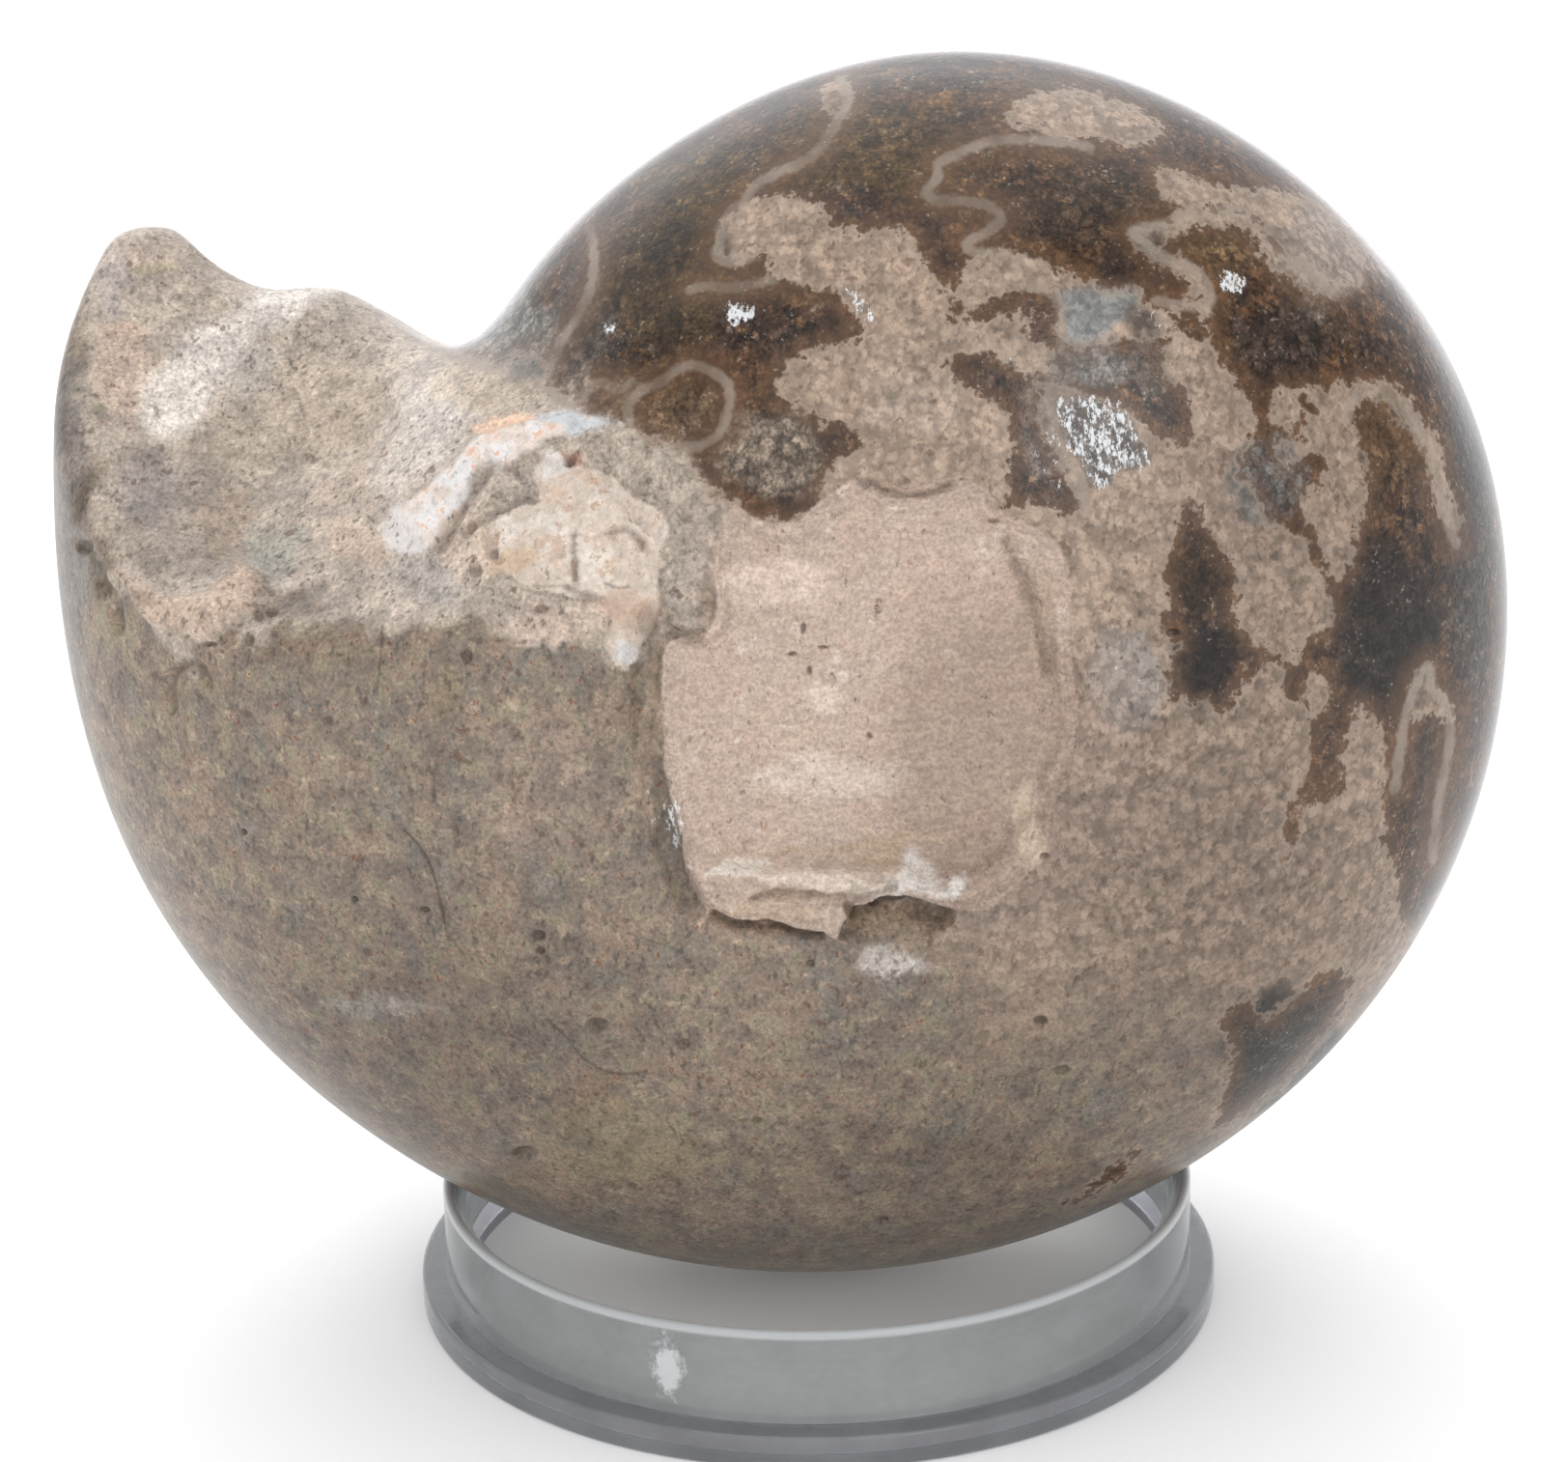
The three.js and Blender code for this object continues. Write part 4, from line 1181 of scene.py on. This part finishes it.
noises["patches"] = node(tree, "TexNoise", {
    "Vector": wandering, "Scale": 1 / PATCH_SIZE, "Detail": 2, "Roughness": NOISE_ROUGHNESS,
})

# Crumbs of sediment and small crystals of calcite, each with a tone of its own
CRUMB_SIZE = 0.5
crumbs = node(tree, "TexVoronoi", {
    "Vector": wandering, "Scale": 1 / CRUMB_SIZE, "Randomness": 0.9,
}, out="Distance")
crumb_tone = node(tree, "SeparateColor", {0: crumbs.node.outputs["Color"]})

# The edges of the patches wander by about a third of a millimetre, and round the crumbs
wander = node(tree, "Math", {0: noises["edges"], 1: 0.5}, operation="SUBTRACT")
wander = node(tree, "Math", {0: wander, 1: 1.6}, operation="MULTIPLY")
crumb_edge = node(tree, "Math", {0: crumbs, 1: 0.5, 2: -0.15}, operation="MULTIPLY_ADD")
wander_round_crumbs = node(tree, "Math", {0: wander, 1: crumb_edge}, operation="ADD")
places = {"dark": node(tree, "Math", {
    0: node(tree, "Attribute", out="Fac", attribute_name="dark"), 1: wander_round_crumbs,
}, operation="ADD")}
for name, share in [("plug", 0.25), ("chalk", 0.35), ("ridge", 0.45), ("lip", 0.15), ("suture", 0.35)]:
    place = node(tree, "Attribute", out="Fac", attribute_name=name)
    places[name] = node(tree, "Math", {0: wander, 1: share, 2: place}, operation="MULTIPLY_ADD")
covers = {
    name: node(tree, "MapRange", {0: places[name], 1: edge, 2: -edge}, **SOFT)
    for name, edge in [("dark", 0.10), ("plug", 0.09), ("chalk", 0.12), ("ridge", 0.30), ("lip", 0.10)]
}
for name in ("grain", "threads_groove_shade_and_pits", "frost", "specks", "shade"):
    covers[name] = node(tree, "Attribute", out="Fac", attribute_name=name)

# Each finish: its main colour, then clouds of other colours as noise, start, end and colour, then layers of
# grain as noise, start, end, and the brightness at start and end
FINISHES = {
    "mud": ("#807265", [
        ("drifts", 0.48, 0.60, "#887666"), ("patches", 0.55, 0.61, "#7f7561"),
        ("drifts", 0.42, 0.34, "#7d7469"), ("spots", 0.60, 0.66, "#978672"),
        ("flecks", 0.655, 0.69, "#6f4c39"),
    ], [
        ("flecks", 0.43, 0.35, 1.0, 0.64), ("flecks", 0.57, 0.65, 1.0, 1.25),
        ("grit", 0.30, 0.70, 0.81, 1.20), ("patches", 0.34, 0.66, 0.82, 1.16),
        ("spots", 0.36, 0.31, 1.0, 0.66), ("drifts", 0.34, 0.66, 0.92, 1.08),
    ]),
    "crumb": ("#a18c7a", [
        ("drifts", 0.46, 0.60, "#a8917e"), ("spots", 0.58, 0.68, "#887565"),
    ], [
        ("patches", 0.36, 0.62, 0.78, 1.12), ("spots", 0.38, 0.32, 1.0, 0.72),
        ("grit", 0.30, 0.70, 0.90, 1.10), ("flecks", 0.40, 0.33, 1.0, 0.72),
    ]),
    "calcite": ("#45342a", [
        ("drifts", 0.46, 0.60, "#583f2b"), ("patches", 0.55, 0.66, "#2b2420"),
        ("spots", 0.57, 0.66, "#694e36"), ("edges", 0.62, 0.70, "#75675a"),
    ], [
        ("patches", 0.34, 0.68, 0.66, 1.36), ("grit", 0.32, 0.68, 0.66, 1.40),
        ("flecks", 0.40, 0.32, 1.0, 0.50),
    ]),
    "plug": ("#bda99a", [
        ("drifts", 0.46, 0.62, "#bfa898"), ("patches", 0.60, 0.72, "#d0bfb2"),
        ("flecks", 0.65, 0.70, "#a48a79"),
    ], [
        ("levels", 0.34, 0.66, 0.90, 1.08), ("grit", 0.30, 0.70, 0.85, 1.15),
        ("flecks", 0.345, 0.29, 1.0, 0.60),
    ]),
    "chalk": ("#d6c6b7", [
        ("drifts", 0.48, 0.60, "#e2d6ca"), ("patches", 0.55, 0.64, "#d0b8a5"),
        ("spots", 0.64, 0.70, "#b9a28d"),
    ], [
        ("spots", 0.34, 0.66, 0.88, 1.08), ("flecks", 0.40, 0.34, 1.0, 0.82),
        ("grit", 0.30, 0.70, 0.94, 1.06),
    ]),
    "ridge": ("#e4d4c8", [
        ("patches", 0.46, 0.56, "#e8e3e0"), ("spots", 0.58, 0.66, "#dcb9a4"),
    ], [
        ("spots", 0.34, 0.66, 0.88, 1.06), ("flecks", 0.40, 0.34, 1.0, 0.78),
    ]),
}
tones, grains = {}, {}
for name, (tone, clouds, layers) in FINISHES.items():
    for source, start, end, colour in clouds:
        cloud = node(tree, "MapRange", {0: noises[source], 1: start, 2: end}, **SOFT)
        tone = node(tree, "Mix", {0: cloud, 6: tone, 7: colour}, out=2, data_type="RGBA")
    tones[name] = tone
    grain = 1.0
    for source, start, end, low, high in layers:
        layer = node(tree, "MapRange", {0: noises[source], 1: start, 2: end, 3: low, 4: high}, **SOFT)
        grain = node(tree, "Math", {0: layer, 1: grain}, operation="MULTIPLY")
    grains[name] = grain

# Brown gaps between the crumbs, crystals of different depth, and streaks round the wall of the plug
gaps = node(tree, "MapRange", {0: crumbs, 1: 0.34, 2: 0.66, 3: 1.07, 4: 0.74}, **SOFT)
pale_crumbs = node(tree, "MapRange", {0: crumb_tone, 1: 0.4, 2: 1.0, 3: 0.0, 4: 0.4})
tones["crumb"] = node(tree, "Mix", {
    0: pale_crumbs, 6: tones["crumb"], 7: "#b39e8a",
}, out=2, data_type="RGBA")
grains["crumb"] = node(tree, "Math", {0: grains["crumb"], 1: gaps}, operation="MULTIPLY")
depths = node(tree, "MapRange", {0: crumb_tone, 3: 0.62, 4: 1.45})
crystal_edges = node(tree, "MapRange", {0: crumbs, 1: 0.40, 2: 0.75, 3: 1.05, 4: 0.55})
depths = node(tree, "Math", {0: depths, 1: crystal_edges}, operation="MULTIPLY")
grains["calcite"] = node(tree, "Math", {0: grains["calcite"], 1: depths}, operation="MULTIPLY")
across = node(tree, "CombineXYZ", {"X": places["plug"]})
along = node(tree, "VectorMath", {0: millimetres, 3: 0.16}, operation="SCALE")
around = node(tree, "VectorMath", {0: across, 1: (2.6, 0, 0), 2: along}, operation="MULTIPLY_ADD")
streaks = node(tree, "TexNoise", {"Vector": around, "Scale": 1.0, "Detail": 2, "Roughness": 0.7})
streaks = node(tree, "MapRange", {0: streaks, 1: 0.40, 2: 0.60, 3: 0.86, 4: 1.05}, **SOFT)
near_wall = node(tree, "MapRange", {0: places["plug"], 1: -1.5, 2: -0.6}, **SOFT)
streaks = node(tree, "Mix", {0: near_wall, 2: 1.0, 3: streaks})
grains["plug"] = node(tree, "Math", {0: grains["plug"], 1: streaks}, operation="MULTIPLY")

# The finishes one over another, with the stains between the stone and the chalk
tone = node(tree, "Mix", {0: covers["grain"], 6: tones["mud"], 7: tones["crumb"]}, out=2, data_type="RGBA")
grain = node(tree, "Mix", {0: covers["grain"], 2: grains["mud"], 3: grains["crumb"]})
# Painted shade darkens the body's grain
shade = node(tree, "MapRange", {0: covers["shade"], 3: 1.0, 4: 0.70})
grain = node(tree, "Math", {0: grain, 1: shade}, operation="MULTIPLY")
stain = node(tree, "Attribute", out="Color", attribute_name="tint")
stain_strength = stain.node.outputs["Alpha"]
stain_edge = node(tree, "Math", {0: noises["spots"], 1: 0.9, 2: stain_strength}, operation="MULTIPLY_ADD")
stain_edge = node(tree, "MapRange", {0: stain_edge, 1: 0.62, 2: 1.15}, **SOFT)
stain_cover = node(tree, "Math", {0: stain_strength, 1: stain_edge}, operation="MULTIPLY")
dull = 0.0
FINISH_OF = {"dark": "calcite", "plug": "plug", "lip": "plug", "chalk": "chalk", "ridge": "ridge"}
for name, finish in FINISH_OF.items():
    tone = node(tree, "Mix", {0: covers[name], 6: tone, 7: tones[finish]}, out=2, data_type="RGBA")
    grain = node(tree, "Mix", {0: covers[name], 2: grain, 3: grains[finish]})
    if name != "dark":
        dull = node(tree, "Math", {0: covers[name], 1: dull}, operation="MAXIMUM")
tone = node(tree, "Mix", {0: stain_cover, 6: tone, 7: stain}, out=2, data_type="RGBA")
body = node(tree, "VectorMath", {0: tone, 3: grain}, operation="SCALE")

# Coats over them, each with its strength, what it is limited to, and its colour: soft brown light beside the
# walls, pale rims, walls, rust, specks, frost and painted highlights, glints, and threads with painted shade
not_dull = node(tree, "Math", {0: 1.0, 1: dull}, operation="SUBTRACT")
not_dark = node(tree, "Math", {0: 1.0, 1: covers["dark"]}, operation="SUBTRACT")
inside_glow = node(tree, "MapRange", {0: places["dark"], 1: -1.1, 2: -0.05}, **SOFT)
suture_glow = node(tree, "MapRange", {0: places["suture"], 1: 1.5, 2: 0.3}, **SOFT)
glow = node(tree, "Math", {0: inside_glow, 1: suture_glow}, operation="MAXIMUM")
rim = node(tree, "MapRange", {0: places["dark"], 1: 0.45, 2: 0.10}, **SOFT)
rim_start = node(tree, "MapRange", {0: places["dark"], 1: -0.16, 2: 0.06}, **SOFT)
suture_breaks = node(tree, "MapRange", {0: noises["drifts"], 1: 0.36, 2: 0.60, 3: 0.35, 4: 1.0})
suture_core = node(tree, "MapRange", {0: places["suture"], 1: 0.36, 2: 0.12}, **SOFT)
slanting = node(tree, "VectorMath", {0: millimetres, 1: (1.5, 1.5, 0.6)}, operation="MULTIPLY")
frost_and_highlight_grain = node(tree, "TexNoise", {"Vector": slanting, "Scale": 2.6, "Detail": 3, "Roughness": 0.82})
frost_and_highlight_grain = node(tree, "Math", {0: covers["frost"], 1: 0.33, 2: frost_and_highlight_grain}, operation="MULTIPLY_ADD")
frost_and_highlight_grain = node(tree, "MapRange", {0: frost_and_highlight_grain, 1: 0.76, 2: 0.84})
frost_and_highlight_reach = node(tree, "MapRange", {0: covers["frost"], 1: 0.0, 2: 0.12})
specks = node(tree, "MapRange", {0: noises["flecks"], 1: 0.375, 2: 0.325})
glints = node(tree, "MapRange", {0: noises["grit"], 1: 0.66, 2: 0.71})
glint_groups = node(tree, "MapRange", {0: noises["patches"], 1: 0.50, 2: 0.62})
rust = node(tree, "MapRange", {0: noises["spots"], 1: 0.34, 2: 0.29})
COATS = [
    (0.50, (glow, covers["dark"], not_dull), "#6a4f39"),
    (0.45, (rim, rim_start, not_dull), "#9c8b7b"),
    (0.72, (suture_core, suture_breaks, not_dull), "#96887b"),
    (0.40, (rust, not_dull, not_dark), "#7a5440"),
    (0.55, (covers["specks"], specks), "#544b43"),
    # Frost and painted highlights
    (0.85, (frost_and_highlight_reach, frost_and_highlight_grain), "#e6e8e9"),
    (0.45, (glints, glint_groups, covers["dark"]), "#b5aa9c"),
    # The dark threads, with the painted shade of the grooves and crevices and the darkened pits
    (0.75, (covers["threads_groove_shade_and_pits"],), "#3a2f26"),
]
for strength, parts, colour in COATS:
    cover = strength
    for part in parts:
        cover = node(tree, "Math", {0: part, 1: cover}, operation="MULTIPLY")
    body = node(tree, "Mix", {0: cover, 6: body, 7: colour}, out=2, data_type="RGBA")

# The dark calcite takes the highest polish, the mud less, and the chalky places none. Grinding left the
# surface slightly uneven, and the chalky places are grainy.
STONE_IOR = 1.4
MUD_ROUGHNESS = 0.32
CALCITE_ROUGHNESS = 0.17
CHALK_ROUGHNESS = 0.8
BUMP_HEIGHT = 0.25 * MM
bump_strength = node(tree, "MapRange", {0: dull, 3: 0.12, 4: 0.75})
uneven = node(tree, "TexNoise", {"Vector": millimetres, "Scale": 3.0, "Detail": 2, "Roughness": 0.75})
bump = node(tree, "Bump", {"Strength": bump_strength, "Distance": BUMP_HEIGHT, "Height": uneven})
roughness = node(tree, "Mix", {0: covers["dark"], 2: MUD_ROUGHNESS, 3: CALCITE_ROUGHNESS})
roughness = node(tree, "Mix", {0: dull, 2: roughness, 3: CHALK_ROUGHNESS})
node(tree, "OutputMaterial", {0: node(tree, "BsdfPrincipled", {
    "Base Color": body, "Roughness": roughness, "IOR": STONE_IOR, "Normal": bump,
})})

fossil = new_piece("ammonite_fossil_stone", fossil_points, fossil_faces, stone)
for name, values in fields.items():
    field = fossil.data.attributes.new(name, "FLOAT", "POINT")
    field.data.foreach_set("value", values.astype(np.float32))
field = fossil.data.attributes.new("tint", "FLOAT_COLOR", "POINT")
field.data.foreach_set("color", tint.astype(np.float32).ravel())
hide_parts("ammonite_fossil")
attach(fossil, "root")


# Floor and light
# A white sheet of matt paper that glows a little, as on a light table, in a pale room with one large soft
# light overhead.
paper, tree = new_material("matt_white_paper")
fibre = node(tree, "TexNoise", {"Vector": node(tree, "TexCoord", out="Object"), "Scale": 900, "Detail": 3})
sheet = node(tree, "Mix", {0: fibre, 6: "#fcfcfc", 7: "#f8f8f7"}, out=2, data_type="RGBA")
node(tree, "OutputMaterial", {0: node(tree, "BsdfPrincipled", {
    "Base Color": sheet, "Roughness": 0.9, "Emission Color": "#ffffff", "Emission Strength": 0.06,
})})
FLOOR_SIDES = (-4000, 4000)
FLOOR_FRONT_AND_BACK = (-4000, 6000)
floor_points = [(x, y, 0) for x in FLOOR_SIDES for y in FLOOR_FRONT_AND_BACK]
new_piece("paper_floor", floor_points, [[0, 2, 3, 1]], paper)

# The room is pale grey, with a bright band all round above the floor's far edge. A large soft screen stands
# in front of the fossil, another behind and above it, and a small bright one at the front right. Each lobe
# is a direction, where it starts and ends, and its brightness.
LIGHT_LOBES = [
    ((-0.04, -0.95, 0.31), 0.78, 0.95, 0.7), ((0.43, -0.80, 0.42), 0.955, 0.99, 2.2),
    ((0.10, 0.78, 0.62), 0.35, 0.90, 0.9),
]
world = bpy.data.worlds.new("pale_room")
world.use_nodes = True
tree = world.node_tree
tree.nodes.clear()
way = node(tree, "TexCoord", out="Generated")
height = node(tree, "SeparateXYZ", {0: way}, out="Z")
all_light = node(tree, "MapRange", {0: height, 1: 0.26, 2: 0.13, 3: 0.45, 4: 1.06}, **SOFT)
for direction, start, end, brightness in LIGHT_LOBES:
    middle = list(Vector(direction).normalized())
    towards = node(tree, "VectorMath", {0: way, 1: middle}, out="Value", operation="DOT_PRODUCT")
    lobe = node(tree, "MapRange", {0: towards, 1: start, 2: end, 3: 0.0, 4: brightness}, **SOFT)
    all_light = node(tree, "Math", {0: all_light, 1: lobe}, operation="ADD")
node(tree, "OutputWorld", {0: node(tree, "Background", {"Color": "#fbfcff", "Strength": all_light})})
bpy.context.scene.world = world
bpy.context.scene.view_settings.view_transform = "Standard"

# A large soft light overhead, a little to the left and behind
SOFT_LIGHT_DIRECTION = Vector((-0.20, 0.15, 0.97))
SOFT_LIGHT_ENERGY = 1.44
SOFT_LIGHT_ANGLE = math.radians(95)
soft_light = bpy.data.objects.new("soft_light", bpy.data.lights.new("soft_light", "SUN"))
soft_light.data.energy = SOFT_LIGHT_ENERGY
soft_light.data.angle = SOFT_LIGHT_ANGLE
soft_light.rotation_euler = SOFT_LIGHT_DIRECTION.to_track_quat("Z", "Y").to_euler()
bpy.context.scene.collection.objects.link(soft_light)
